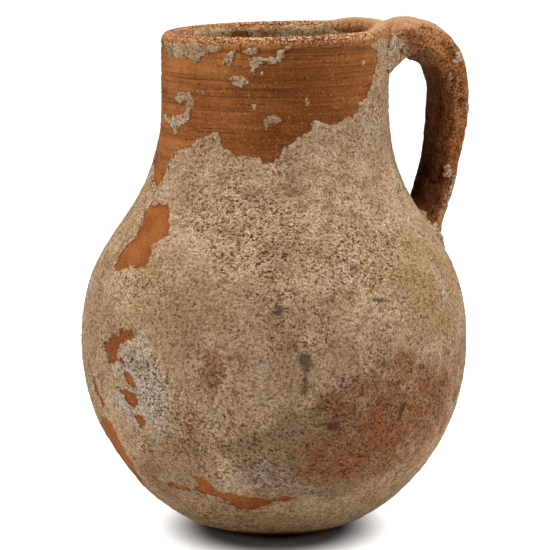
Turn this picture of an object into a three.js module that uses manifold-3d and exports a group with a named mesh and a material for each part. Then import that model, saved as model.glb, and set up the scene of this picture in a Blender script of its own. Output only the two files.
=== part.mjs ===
// A round-bodied clay jug with a wide neck, one strap handle and a lime crust.
// Millimetres. It stands on z = 0, its neck is round the Z axis and its handle points along +X.
import * as THREE from "three";
import { mergeVertices } from "three/addons/utils/BufferGeometryUtils.js";
import Module from "manifold-3d";

const wasm = await Module();
wasm.setup();

// Overall shape
const RIM_HEIGHT = 189;
const BELLY_RADIUS = 72.7;
const BELLY_HEIGHT = 70;
const GLOBE_HALF_HEIGHT = 75;
const SHOULDER_RADIUS = 57.7;
const SHOULDER_HEIGHT = 115;
const SHOULDER_SLOPE = 0.73;
const NECK_RADIUS = 42.6;
const NECK_FOOT_HEIGHT = 163;
const BELLY_FULLNESS = 0.44;
const SHOULDER_FULLNESS = 0.33;
const THROAT_FOOT_FULLNESS = 0.354;
const THROAT_TOP_FULLNESS = 0.396;
const RIM_TILT = THREE.MathUtils.degToRad(1.3);
const RIM_HIGH_SIDE = THREE.MathUtils.degToRad(-30);
const TILT_STARTS = 140;

// Walls and lip
const BODY_WALL = 6;
const FLOOR_THICKNESS = 8.5;
const NECK_WALL = 5.2;
const LIP_HEIGHT = 3.5;

// Joint between the body and the neck: a spigot under a flat seat
const SEAM_SHARE = 0.35;
const SPIGOT_DEPTH = 8;
const SPIGOT_WALL = 4.4;
const FIT_GAP = 0.3;

// Handle strap
const HANDLE_REACH = 27.1;
const HANDLE_FOOT_HEIGHT = 112;
const STRAP_WIDTH_TOP = 30;
const STRAP_WIDTH_FOOT = 24;
const STRAP_THICKNESS_TOP = 14;
const STRAP_THICKNESS_FOOT = 9;
const STRAP_SQUARENESS = 3;

// Clay collars smeared round the two ends of the strap
const COLLAR_EDGE = 0.4;
const RIM_COLLAR_LENGTH = 13;
const RIM_COLLAR_SPREAD = 6;
const RIM_COLLAR_TOP_SPREAD = 1.2;
const RIM_COLLAR_UNDER_SPREAD = 2.5;
const FOOT_COLLAR_LENGTH = 17;
const FOOT_COLLAR_SPREAD = 4;
const FOOT_COLLAR_OUTER_SPREAD = 1;
const FOOT_COLLAR_UNDER_SPREAD = 3;

// Crust
const CRUST_THICKNESS = 0.6;
const CRUST_LOWEST = 2.4;
const DEPOSIT_LOWEST = 150;

// Steps round and along
const ROUND_STEPS = 40;
const STRAP_STEPS = 20;
const SECTION_STEPS = 16;

// How far a wedge that cuts the crust starts inside the wall and ends outside it
const WEDGE_MARGIN = 8;

// Bare areas in the crust as [degrees round the jug, height]. Zero degrees is the handle.
const BARE_NECK_LEFT = [
  [-204, 150], [-196, 141], [-187, 137], [-180, 134], [-172, 132], [-169, 140], [-165, 146.3],
  [-153, 148], [-149, 152], [-140, 153.5], [-136.5, 154.3], [-134.5, 149.5], [-128.5, 146.6],
  [-120, 145.3], [-120, 200], [-204, 200],
];
const BARE_NECK_MIDDLE = [
  [-120, 145.3], [-114.3, 144.3], [-109, 144], [-105.5, 145.8], [-102.5, 149.4], [-97.3, 151.1],
  [-97, 153], [-90.2, 155], [-90.2, 157.4], [-88.5, 158.6], [-82.7, 156.8], [-77.2, 156.5],
  [-69.3, 158.2], [-63.2, 161.2], [-56, 165.5], [-50.4, 170.5], [-45, 177.7], [-45, 181],
  [-50, 184], [-39, 187], [-37, 200], [-122, 200], [-122, 150],
];
const BARE_NECK_BACK = [
  [112, 200], [114, 184], [121, 176], [131, 170], [137, 160], [143, 157], [149, 159], [155, 150],
  [158, 152], [158, 200],
];
const BARE_BODY = [
  [[-172, 125], [-161.5, 126.5], [-157.5, 126], [-155, 121.3], [-151, 116.5], [-156.5, 112],
    [-155, 105.3], [-161, 104.7], [-163.5, 105.2], [-170, 101.2], [-173.5, 102.7], [-171.5, 110.3],
    [-169.5, 115.7], [-172.5, 121]],
  [[-168.3, 75.8], [-164, 77.8], [-163, 80.2], [-159.3, 78.6], [-157, 82.5], [-153.5, 82.2],
    [-153.2, 80.6], [-159, 77], [-161, 70], [-163, 68.8], [-165.7, 72]],
  [[-157.5, 66.5], [-155, 67.2], [-152.3, 63.5], [-152.5, 61.5], [-155.5, 63]],
  [[-159, 59], [-155, 60], [-152, 57], [-153.5, 54], [-157, 54.5]],
  [[-155.5, 50.3], [-151, 49.5], [-150, 47.5], [-152.5, 45.8]],
  [[-196, 30], [-190, 40], [-180, 43.5], [-173.5, 45.5], [-170, 43], [-169, 30.8], [-171, 22],
    [-180, 17], [-190, 19]],
  [[-139.3, 23], [-136.5, 24.8], [-136, 28.3], [-132, 25.7], [-129.3, 22.3], [-119.7, 21.8],
    [-101, 21], [-113.5, 17.6], [-119, 15.2], [-125.3, 17], [-128, 20], [-136, 21.5]],
  [[-154, 23], [-149.5, 24.3], [-141.5, 23], [-144.5, 21.5], [-152, 21.8]],
  [[96, 118], [104, 121], [112, 117], [114, 108], [107, 101], [99, 103], [94, 110]],
  [[60, 47], [70, 52], [78, 49], [82, 40], [74, 33], [64, 35], [58, 40]],
  [[132, 84], [138, 88], [143, 83], [141, 75], [135, 73], [131, 78]],
  [[20, 60], [25, 64], [30, 59], [28, 51], [22, 50]],
];

// Crust left standing on the bare neck
const NECK_FLECKS = [
  [[-171, 180.5], [-171.5, 183.5], [-164, 185.8], [-134.5, 185.6], [-142, 183], [-151, 179.2],
    [-154.5, 180.8]],
  [[-133.5, 181.5], [-128, 184.3], [-127, 178], [-133.5, 179]],
  [[-124, 185.5], [-120, 185], [-117, 183.8], [-122, 182.6]],
  [[-120.5, 181.3], [-105.5, 181.5], [-103.7, 184.4], [-101, 185], [-103.5, 183],
    [-105, 180.2], [-113.5, 180.2], [-117.5, 178.8], [-118.5, 176.4], [-120, 176.3]],
  [[-131.2, 174], [-128.5, 175.2], [-120.8, 173.6], [-125, 171.4]],
  [[-162, 168], [-153, 167], [-151.5, 165.5], [-154, 159.5], [-156, 156.5], [-162, 155],
    [-168.5, 152.5], [-176, 156.5], [-165, 158], [-159, 160], [-157.5, 163.5], [-162, 165]],
  [[-113.5, 157.5], [-111.5, 160.2], [-107, 160.7], [-104.2, 158.7], [-112.2, 155.9]],
];

// Gaps in the lower edge of the deposit inside the mouth
const DEPOSIT_BITES = [
  [[-60, 145], [-60, 157], [-72, 163], [-85, 158], [-96, 145]],
  [[35, 145], [42, 159], [60, 166], [71, 155], [78, 145]],
  [[150, 145], [158, 154], [172, 160], [184, 152], [190, 145]],
];

// Crust on the strap as [share of its length, left edge, right edge] measured across it
const STRAP_CRUST = [
  ["strap_crust_root", [[0.1, -13, 14], [0.16, -16, 15], [0.22, -11, 17], [0.27, -5, 12]]],
  ["strap_crust_bend", [[0.33, 2, 12], [0.4, 5, 17], [0.48, 7, 17], [0.56, 9, 16]]],
  ["strap_crust_foot", [[0.66, -15, -7], [0.74, -16, 3], [0.82, -15, 6], [0.86, -9, 2]]],
];

const COLOURS = { clay: 0xa8683f, luting: 0x9c5f38, crust: 0xb49d7b, deposit: 0x8f8160 };

// Curves of the outside outline from the base edge up, as radius and height
const globeCurve = new THREE.EllipseCurve(
  0,
  BELLY_HEIGHT,
  BELLY_RADIUS,
  GLOBE_HALF_HEIGHT,
  -Math.asin(BELLY_HEIGHT / GLOBE_HALF_HEIGHT),
  0,
);
const shoulderRise = SHOULDER_HEIGHT - BELLY_HEIGHT;
const shoulderCurve = new THREE.CubicBezierCurve(
  new THREE.Vector2(BELLY_RADIUS, BELLY_HEIGHT),
  new THREE.Vector2(BELLY_RADIUS, BELLY_HEIGHT + shoulderRise * BELLY_FULLNESS),
  new THREE.Vector2(
    SHOULDER_RADIUS + SHOULDER_SLOPE * shoulderRise * SHOULDER_FULLNESS,
    SHOULDER_HEIGHT - shoulderRise * SHOULDER_FULLNESS,
  ),
  new THREE.Vector2(SHOULDER_RADIUS, SHOULDER_HEIGHT),
);
const throatRise = NECK_FOOT_HEIGHT - SHOULDER_HEIGHT;
const throatCurve = new THREE.CubicBezierCurve(
  new THREE.Vector2(SHOULDER_RADIUS, SHOULDER_HEIGHT),
  new THREE.Vector2(
    SHOULDER_RADIUS - SHOULDER_SLOPE * throatRise * THROAT_FOOT_FULLNESS,
    SHOULDER_HEIGHT + throatRise * THROAT_FOOT_FULLNESS,
  ),
  new THREE.Vector2(NECK_RADIUS, NECK_FOOT_HEIGHT - throatRise * THROAT_TOP_FULLNESS),
  new THREE.Vector2(NECK_RADIUS, NECK_FOOT_HEIGHT),
);
const seam = throatCurve.getPoint(SEAM_SHARE);
const lipFoot = RIM_HEIGHT - LIP_HEIGHT;

// Points of a curve between two shares of it, without the first
function stretch(curve, from, to, steps) {
  const points = [];
  for (let i = 1; i <= steps; i++) {
    points.push(curve.getPoint(THREE.MathUtils.lerp(from, to, i / steps)));
  }
  return points;
}

const bodyOutline = [
  globeCurve.getPoint(0),
  ...stretch(globeCurve, 0, 1, 10),
  ...stretch(shoulderCurve, 0, 1, 6),
  ...stretch(throatCurve, 0, SEAM_SHARE, 2),
];
const neckOutline = [
  seam,
  ...stretch(throatCurve, SEAM_SHARE, 1, 5),
  new THREE.Vector2(NECK_RADIUS, (NECK_FOOT_HEIGHT + lipFoot) / 2),
  new THREE.Vector2(NECK_RADIUS, lipFoot),
];
const potOutline = [...bodyOutline, ...neckOutline.slice(1)];

// The outline moved along its own normals, outwards where the distance is above zero
function shifted(points, distance) {
  return points.map((point, i) => {
    const before = points[Math.max(i - 1, 0)];
    const after = points[Math.min(i + 1, points.length - 1)];
    const along = after.clone().sub(before).normalize();
    return new THREE.Vector2(point.x + along.y * distance, point.y - along.x * distance);
  });
}

// Outside radius at a height
function radiusAt(height) {
  const above = potOutline.findIndex((point) => point.y >= height);
  const low = potOutline[above - 1];
  const high = potOutline[above];
  return THREE.MathUtils.mapLinear(height, low.y, high.y, low.x, high.x);
}

// The neck leans so that its rim rises to one side, more and more from the neck's foot to the lip
function leanRim(geometry) {
  const place = geometry.getAttribute("position");
  for (let i = 0; i < place.count; i++) {
    const toHighSide =
      place.getX(i) * Math.cos(RIM_HIGH_SIDE) + place.getY(i) * Math.sin(RIM_HIGH_SIDE);
    const share = THREE.MathUtils.smoothstep(place.getZ(i), TILT_STARTS, RIM_HEIGHT);
    place.setZ(i, place.getZ(i) + toHighSide * Math.tan(RIM_TILT) * share);
  }
  return geometry;
}

// A geometry as one solid with shared vertices
function solid(geometry) {
  const bare = geometry.clone();
  bare.deleteAttribute("normal");
  bare.deleteAttribute("uv");
  const merged = mergeVertices(bare, 1e-4);
  const mesh = new wasm.Mesh({
    numProp: 3,
    vertProperties: merged.getAttribute("position").array,
    triVerts: new Uint32Array(merged.getIndex().array),
  });
  return new wasm.Manifold(mesh);
}

// A solid turned round the Z axis from an outline that closes on itself or on the axis
function turned(outline) {
  const geometry = new THREE.LatheGeometry(outline, ROUND_STEPS);
  geometry.rotateX(Math.PI / 2);
  return solid(leanRim(geometry));
}

// A closed ring of revolution between two outlines
function turnedShell(outer, inner) {
  return turned([...outer, ...inner.slice().reverse(), outer[0]]);
}

// A wedge whose [degrees, height] outline points at the axis, right through the pot's wall
function radialWedge(outline) {
  const radii = outline.map(([, height]) => radiusAt(Math.min(height, NECK_FOOT_HEIGHT)));
  const angles = outline.map(([degrees]) => degrees);
  const span = THREE.MathUtils.degToRad(Math.max(...angles) - Math.min(...angles));
  const nearRadius = Math.min(...radii) - WEDGE_MARGIN;
  const farRadius = (Math.max(...radii) + WEDGE_MARGIN) / Math.cos(span / 2);
  const flat = outline.map(([degrees, height]) => new THREE.Vector2(degrees, height));
  if (THREE.ShapeUtils.isClockWise(flat)) flat.reverse();
  const count = flat.length;
  const positions = [];
  for (const radius of [farRadius, nearRadius]) {
    for (const point of flat) {
      const angle = THREE.MathUtils.degToRad(point.x);
      positions.push(radius * Math.cos(angle), radius * Math.sin(angle), point.y);
    }
  }
  const faces = [];
  for (const [a, b, c] of THREE.ShapeUtils.triangulateShape(flat, [])) {
    faces.push(a, b, c, c + count, b + count, a + count);
  }
  for (let i = 0; i < count; i++) {
    const next = (i + 1) % count;
    faces.push(i, i + count, next + count, i, next + count, next);
  }
  const geometry = new THREE.BufferGeometry();
  geometry.setAttribute("position", new THREE.Float32BufferAttribute(positions, 3));
  geometry.setIndex(faces);
  return solid(leanRim(geometry));
}

// Centre line of the strap: out of the neck under the lip, over, and down to the shoulder
function strapLine() {
  const footOut = radiusAt(HANDLE_FOOT_HEIGHT);
  const fromRim = [
    [-0.5, 19],
    [0.03, 8],
    [0.37, 3.5],
    [0.68, 6],
    [0.88, 11],
    [0.98, 18.5],
    [1.01, 28.5],
    [0.95, 44],
    [0.81, 60],
  ].map(([out, down]) => [NECK_RADIUS + out * HANDLE_REACH, RIM_HEIGHT - down]);
  const nearFoot = [
    [footOut + 0.8, HANDLE_FOOT_HEIGHT + 6],
    [footOut - 9, HANDLE_FOOT_HEIGHT - 19],
  ];
  const points = [...fromRim, ...nearFoot].map(([x, z]) => new THREE.Vector3(x, 0, z));
  return new THREE.CatmullRomCurve3(points, false, "centripetal");
}
const strapCurve = strapLine();

// Share of the strap's length where its centre line comes out of the pot at one end
function surfacingShare(fromEnd) {
  const steps = 400;
  for (let i = 0; i <= steps; i++) {
    const share = fromEnd ? 1 - i / steps : i / steps;
    const centre = strapCurve.getPointAt(share);
    if (centre.x > radiusAt(centre.z)) return share;
  }
  return fromEnd ? 1 : 0;
}
const topShare = surfacingShare(false);
const footShare = surfacingShare(true);
const strapLength = strapCurve.getLength();

// Centre, outward direction and half sizes of the strap at a share of its length
function strapStation(share) {
  const centre = strapCurve.getPointAt(share);
  const along = strapCurve.getTangentAt(share);
  const left = 1 - share;
  return {
    centre,
    out: new THREE.Vector3(-along.z, 0, along.x),
    halfWidth: (STRAP_WIDTH_FOOT + (STRAP_WIDTH_TOP - STRAP_WIDTH_FOOT) * left ** 2) / 2,
    halfThickness:
      (STRAP_THICKNESS_FOOT + (STRAP_THICKNESS_TOP - STRAP_THICKNESS_FOOT) * left ** 1.3) / 2,
  };
}

// A solid through rings of points that all have the same count, with flat ends
function loft(rings) {
  const count = rings[0].length;
  const positions = rings.flat().flatMap((point) => point.toArray());
  const faces = [];
  for (let i = 0; i + 1 < rings.length; i++) {
    for (let j = 0; j < count; j++) {
      const a = i * count + j;
      const b = i * count + ((j + 1) % count);
      faces.push(a, b, b + count, a, b + count, a + count);
    }
  }
  const last = (rings.length - 1) * count;
  for (let j = 1; j + 1 < count; j++) {
    faces.push(0, j + 1, j, last, last + j, last + j + 1);
  }
  const geometry = new THREE.BufferGeometry();
  geometry.setAttribute("position", new THREE.Float32BufferAttribute(positions, 3));
  geometry.setIndex(faces);
  return solid(geometry);
}

// One rounded-rectangle ring of the strap, made larger by a side, an outer and an inner amount
function strapRing(share, side, outer, inner) {
  const { centre, out, halfWidth, halfThickness } = strapStation(share);
  const round = (value) => Math.sign(value) * Math.abs(value) ** (2 / STRAP_SQUARENESS);
  const ring = [];
  for (let i = 0; i < SECTION_STEPS; i++) {
    const angle = (2 * Math.PI * i) / SECTION_STEPS;
    const across = round(Math.cos(angle)) * (halfWidth + side);
    const lift = round(Math.sin(angle));
    const away = lift * (halfThickness + (lift > 0 ? outer : inner));
    const point = centre.clone().addScaledVector(out, away);
    ring.push(point.add(new THREE.Vector3(0, across, 0)));
  }
  return ring;
}

function strapSolid(grown) {
  const rings = [];
  for (let i = 0; i <= STRAP_STEPS; i++) {
    rings.push(strapRing(i / STRAP_STEPS, grown, grown, grown));
  }
  return loft(rings);
}

// The whole pot without its hollow, grown, to cut what rests on it
function potFilled(grown) {
  const outside = shifted(potOutline, grown);
  const top = RIM_HEIGHT + grown;
  const foot = new THREE.Vector2(outside[0].x, -grown);
  const roundTop = new THREE.EllipseCurve(
    NECK_RADIUS - NECK_WALL / 2,
    lipFoot,
    NECK_WALL / 2 + grown,
    LIP_HEIGHT + grown,
    0,
    Math.PI / 2,
  );
  return turned([
    new THREE.Vector2(0, -grown),
    foot,
    ...outside,
    ...stretch(roundTop, 0, 1, 3),
    new THREE.Vector2(0, top),
  ]);
}

function makeBody() {
  const mouthRadius = NECK_RADIUS - NECK_WALL + SPIGOT_WALL + FIT_GAP;
  const hollowTop = seam.y - SPIGOT_DEPTH;
  const hollow = new THREE.EllipseCurve(
    0,
    BELLY_HEIGHT,
    BELLY_RADIUS - BODY_WALL,
    BELLY_HEIGHT - FLOOR_THICKNESS,
    -Math.PI / 2,
    0,
  );
  const wallStarts = BELLY_HEIGHT + BODY_WALL;
  const insideShoulder = shifted(stretch(shoulderCurve, 0, 1, 6), -BODY_WALL).filter(
    (point) => point.y > wallStarts && point.y < hollowTop - BODY_WALL / 2,
  );
  return turned([
    new THREE.Vector2(0, 0),
    ...bodyOutline,
    new THREE.Vector2(mouthRadius, seam.y),
    new THREE.Vector2(mouthRadius, hollowTop),
    ...insideShoulder.reverse(),
    ...stretch(hollow, 0, 1, 8).reverse(),
    new THREE.Vector2(0, FLOOR_THICKNESS),
  ]);
}

function makeNeck() {
  const insideRadius = NECK_RADIUS - NECK_WALL;
  const lip = new THREE.EllipseCurve(
    NECK_RADIUS - NECK_WALL / 2,
    lipFoot,
    NECK_WALL / 2,
    LIP_HEIGHT,
    0,
    Math.PI,
  );
  const spigotFoot = seam.y - SPIGOT_DEPTH;
  return turned([
    ...neckOutline,
    ...stretch(lip, 0, 1, 8),
    new THREE.Vector2(insideRadius, NECK_FOOT_HEIGHT),
    new THREE.Vector2(insideRadius, TILT_STARTS),
    new THREE.Vector2(insideRadius, spigotFoot),
    new THREE.Vector2(insideRadius + SPIGOT_WALL, spigotFoot),
    new THREE.Vector2(insideRadius + SPIGOT_WALL, seam.y),
    seam,
  ]);
}

// A collar that is widest at one end of the strap and thins out along it
function collar(fromShare, toShare, grown, side, outer, inner) {
  const steps = 7;
  const rings = [];
  for (let i = 0; i <= steps; i++) {
    const share = THREE.MathUtils.lerp(fromShare, toShare, i / steps);
    const flare = (1 - i / steps) ** 2;
    const least = FIT_GAP + COLLAR_EDGE + grown;
    rings.push(
      strapRing(share, least + side * flare, least + outer * flare, least + inner * flare),
    );
  }
  return fromShare < toShare ? loft(rings) : loft(rings.reverse());
}

function rimCollarSolid(grown) {
  const end = topShare + (RIM_COLLAR_LENGTH + grown) / strapLength;
  const under = RIM_COLLAR_UNDER_SPREAD;
  return collar(0, end, grown, RIM_COLLAR_SPREAD, RIM_COLLAR_TOP_SPREAD, under);
}

function footCollarSolid(grown) {
  const end = footShare - (FOOT_COLLAR_LENGTH + grown) / strapLength;
  const under = FOOT_COLLAR_UNDER_SPREAD;
  return collar(1, end, grown, FOOT_COLLAR_SPREAD, FOOT_COLLAR_OUTER_SPREAD, under);
}

function strapWithCollars(grown) {
  return strapSolid(grown).add(rimCollarSolid(grown)).add(footCollarSolid(grown));
}

function makeCrustShell() {
  const covered = potOutline.filter((point) => point.y > CRUST_LOWEST);
  const outer = shifted(covered, FIT_GAP + CRUST_THICKNESS);
  const inner = shifted(covered, FIT_GAP);
  return turnedShell(outer, inner);
}

function makeMouthDeposit() {
  const wall = NECK_RADIUS - NECK_WALL - FIT_GAP;
  const heights = [DEPOSIT_LOWEST, NECK_FOOT_HEIGHT, lipFoot];
  const outer = heights.map((height) => new THREE.Vector2(wall, height));
  const inner = heights.map((height) => new THREE.Vector2(wall - CRUST_THICKNESS, height));
  const ring = turnedShell(outer, inner);
  return DEPOSIT_BITES.reduce((left, bite) => left.subtract(radialWedge(bite)), ring);
}

// A strip over the outer face of the strap that a crust patch is cut with
function strapStrip(edges) {
  const rings = edges.map(([share, left, right]) => {
    const { centre, out, halfThickness } = strapStation(share);
    const corner = (across, away) =>
      centre.clone().addScaledVector(out, away).add(new THREE.Vector3(0, across, 0));
    const low = -halfThickness / 3;
    const high = halfThickness + 4;
    return [corner(right, low), corner(right, high), corner(left, high), corner(left, low)];
  });
  return loft(rings);
}

const group = new THREE.Group();

function addNode(name, made, colour, roughness) {
  const { vertProperties, triVerts } = made.getMesh();
  const geometry = new THREE.BufferGeometry();
  geometry.setAttribute("position", new THREE.BufferAttribute(vertProperties, 3));
  geometry.setIndex(new THREE.BufferAttribute(triVerts, 1));
  const material = new THREE.MeshStandardMaterial({ color: colour, roughness, metalness: 0 });
  const mesh = new THREE.Mesh(geometry, material);
  mesh.name = name;
  group.add(mesh);
}

const potCutter = potFilled(FIT_GAP);
const strapCutter = strapSolid(FIT_GAP);
const crustTop = FIT_GAP + CRUST_THICKNESS;

addNode("body", makeBody(), COLOURS.clay, 0.9);
addNode("neck", makeNeck(), COLOURS.clay, 0.9);
addNode("handle", strapSolid(0).subtract(potCutter), COLOURS.clay, 0.9);
addNode(
  "handle_rim_collar",
  rimCollarSolid(0).subtract(strapCutter).subtract(potCutter),
  COLOURS.luting,
  0.9,
);
addNode(
  "handle_foot_collar",
  footCollarSolid(0).subtract(strapCutter).subtract(potCutter),
  COLOURS.luting,
  0.9,
);

const crustShell = makeCrustShell();
let crustSheet = crustShell.subtract(strapWithCollars(FIT_GAP));
for (const outline of [BARE_NECK_LEFT, BARE_NECK_MIDDLE, BARE_NECK_BACK, ...BARE_BODY]) {
  crustSheet = crustSheet.subtract(radialWedge(outline));
}
addNode("crust_sheet", crustSheet, COLOURS.crust, 1);

NECK_FLECKS.forEach((outline, i) => {
  const fleck = crustShell.intersect(radialWedge(outline));
  addNode("neck_crust_" + (i + 1), fleck, COLOURS.crust, 1);
});

const strapSkin = strapWithCollars(crustTop)
  .subtract(strapWithCollars(FIT_GAP))
  .subtract(potFilled(crustTop + FIT_GAP));
for (const [name, edges] of STRAP_CRUST) {
  addNode(name, strapSkin.intersect(strapStrip(edges)), COLOURS.crust, 1);
}

addNode("mouth_deposit", makeMouthDeposit(), COLOURS.deposit, 1);

export default group;
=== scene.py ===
# A round-bodied clay jug with one strap handle, under a worn crust of lime.
# Lengths are in millimetres, except in node trees, lamps and the camera: those are in metres, as
# the meshes are.
import math

import bpy
import numpy as np
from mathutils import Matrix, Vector
from mathutils.bvhtree import BVHTree


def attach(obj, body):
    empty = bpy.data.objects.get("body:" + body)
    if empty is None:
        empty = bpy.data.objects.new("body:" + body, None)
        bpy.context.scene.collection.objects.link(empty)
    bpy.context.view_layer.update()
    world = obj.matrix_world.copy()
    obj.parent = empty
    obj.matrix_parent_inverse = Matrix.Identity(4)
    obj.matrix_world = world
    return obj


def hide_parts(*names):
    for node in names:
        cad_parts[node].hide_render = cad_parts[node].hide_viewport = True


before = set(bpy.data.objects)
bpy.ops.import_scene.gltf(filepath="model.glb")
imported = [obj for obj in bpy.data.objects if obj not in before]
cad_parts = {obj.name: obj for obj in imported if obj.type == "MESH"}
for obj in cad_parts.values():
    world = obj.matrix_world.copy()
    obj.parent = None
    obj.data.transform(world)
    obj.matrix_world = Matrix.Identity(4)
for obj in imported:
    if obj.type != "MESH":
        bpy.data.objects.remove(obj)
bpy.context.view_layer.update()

bl_info = {
    "name": "Lime-crusted clay jug",
    "version": (1, 0, 0),
    "blender": (4, 5, 0),
    "location": "3D View > Sidebar > Jug",
    "description": "Builds a wheel-thrown jug with a strap handle and a worn lime crust",
    "category": "Object",
}

# The turned wall, as in the solid model
RIM_HEIGHT = 189.0
BELLY_RADIUS = 72.7
BELLY_HEIGHT = 70.0
GLOBE_HALF_HEIGHT = 75.0
SHOULDER_RADIUS = 57.7
SHOULDER_HEIGHT = 115.0
SHOULDER_SLOPE = 0.73
NECK_RADIUS = 42.6
NECK_FOOT_HEIGHT = 163.0
BELLY_FULLNESS = 0.44
SHOULDER_FULLNESS = 0.33
THROAT_FOOT_FULLNESS = 0.354
THROAT_TOP_FULLNESS = 0.396
RIM_TILT = math.radians(1.3)
RIM_HIGH_SIDE = math.radians(-30)
TILT_STARTS = 140.0
BODY_WALL = 6.0
FLOOR_THICKNESS = 8.5
NECK_WALL = 5.2
LIP_HEIGHT = 3.5
SEAM_SHARE = 0.35
SPIGOT_DEPTH = 8.0
SPIGOT_WALL = 4.4
FIT_GAP = 0.3

# The strap handle, as in the solid model
HANDLE_REACH = 27.1
HANDLE_FOOT_HEIGHT = 112.0
STRAP_WIDTH_TOP = 30.0
STRAP_WIDTH_FOOT = 24.0
STRAP_THICKNESS_TOP = 14.0
STRAP_THICKNESS_FOOT = 9.0
STRAP_SQUARENESS = 3.0
# Round fillets at the strap's rim end and foot, in mm on its side, outer and inner faces
RIM_FILLETS = (5.8, 2.6, 1.0)
FOOT_FILLETS = (3.6, 0.0, 5.5)
# How far the foot's thin edge runs out on the shoulder, and how deep edges sink into the clay
RUN_OUT = 9.0
SUNK = 0.9
# Millimetres round the strap's section for one radian
STRAP_RADIUS = 11.0
# Height from which the strap lies over the lip, and the radius where it ends there
LIP_ROUND = 186.0
LIP_MIDDLE = 39.3

# Heights of the foot and the top of the grid that the lime sheet is cut from, and of its lime
SHEET_HEIGHTS = (1.6, 187.5)
LIME_HEIGHTS = (2.6, 186.3)
# Heights where the clay smeared along the lip starts and is full, and how far past the crest of
# the lip it goes
SMEAR_HEIGHTS = (182.5, 187.5)
SMEAR_PAST_CREST = 7.0
# The soil in the mouth starts this far past the crest and ends at this height
SOIL_PAST_CREST = 1.2
SOIL_FOOT = 149.0
# How wide the cells of each grid are
SHEET_CELL = 0.66
SMEAR_CELL = 0.5
FLECK_CELL = 0.3
CRUMB_CELL = 0.22
STRAP_LIME_CELL = 0.45
SOIL_CELL = 0.6
# How far under the clay the hidden side of a crust, of the soil and of the smear lies
CRUST_ROOT = -0.35
ISLAND_ROOT = -0.3
SMEAR_ROOT = -0.4

# Steps along the curves of the shoulder and the throat
CURVE_STEPS = 300
# Most in mm that a turned wall may stray from its solid
MOST_OFF_SOLID = 0.6
# Depth in mm in an outline for points that are nowhere near it
FAR = -12.0
# The camera looks in from this angle, in degrees
SIGHT_ANGLE = -108

# Bare clay in the crust, and crust left on bare clay, as outlines of (degrees, height) corners.
# Zero degrees is the handle's side, and degrees run anticlockwise seen from above.
BARE_NECK = [
    [(-204, 150), (-196, 141), (-187, 137), (-180, 134), (-176, 132.6), (-172, 132), (-170.5, 134),
     (-169, 140), (-165, 146.3), (-159.5, 147), (-153, 148), (-150.5, 150), (-149, 152),
     (-144.5, 152.5), (-140, 153.5), (-136.5, 154.3), (-134.5, 149.5), (-133, 148.8),
     (-131, 147.7), (-128.5, 146.6), (-125, 145.1), (-120, 145.3), (-116.7, 145.6),
     (-114.3, 144.3), (-109, 144), (-108.3, 145.5), (-105.5, 145.8), (-103.8, 147.9),
     (-102.5, 149.4), (-99.7, 150.6), (-97.3, 151.1), (-97, 153), (-92.3, 154.1), (-90.2, 155),
     (-90.2, 157.4), (-88.5, 158.6), (-86.3, 157.9), (-82.7, 156.8), (-80, 156.4), (-77.2, 156.5),
     (-73.3, 157.8), (-69.3, 158.2), (-66.5, 159.5), (-63.2, 161.2), (-60, 163.2), (-56, 165.5),
     (-50.4, 170.5), (-47, 174), (-45, 177.7), (-45, 181), (-50, 182.7), (-50, 184), (-46, 185.2),
     (-41, 186.4), (-39, 200), (-122, 200), (-204, 200)],
    [(112, 200), (114, 184), (117, 181.5), (121, 176), (125, 172), (131, 170), (132, 166),
     (136, 166.5), (138, 161), (141, 160), (140, 156.5), (144, 155), (148, 158.5), (151, 157),
     (151.5, 152), (155, 150), (158, 152), (158, 200)],
]
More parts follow.
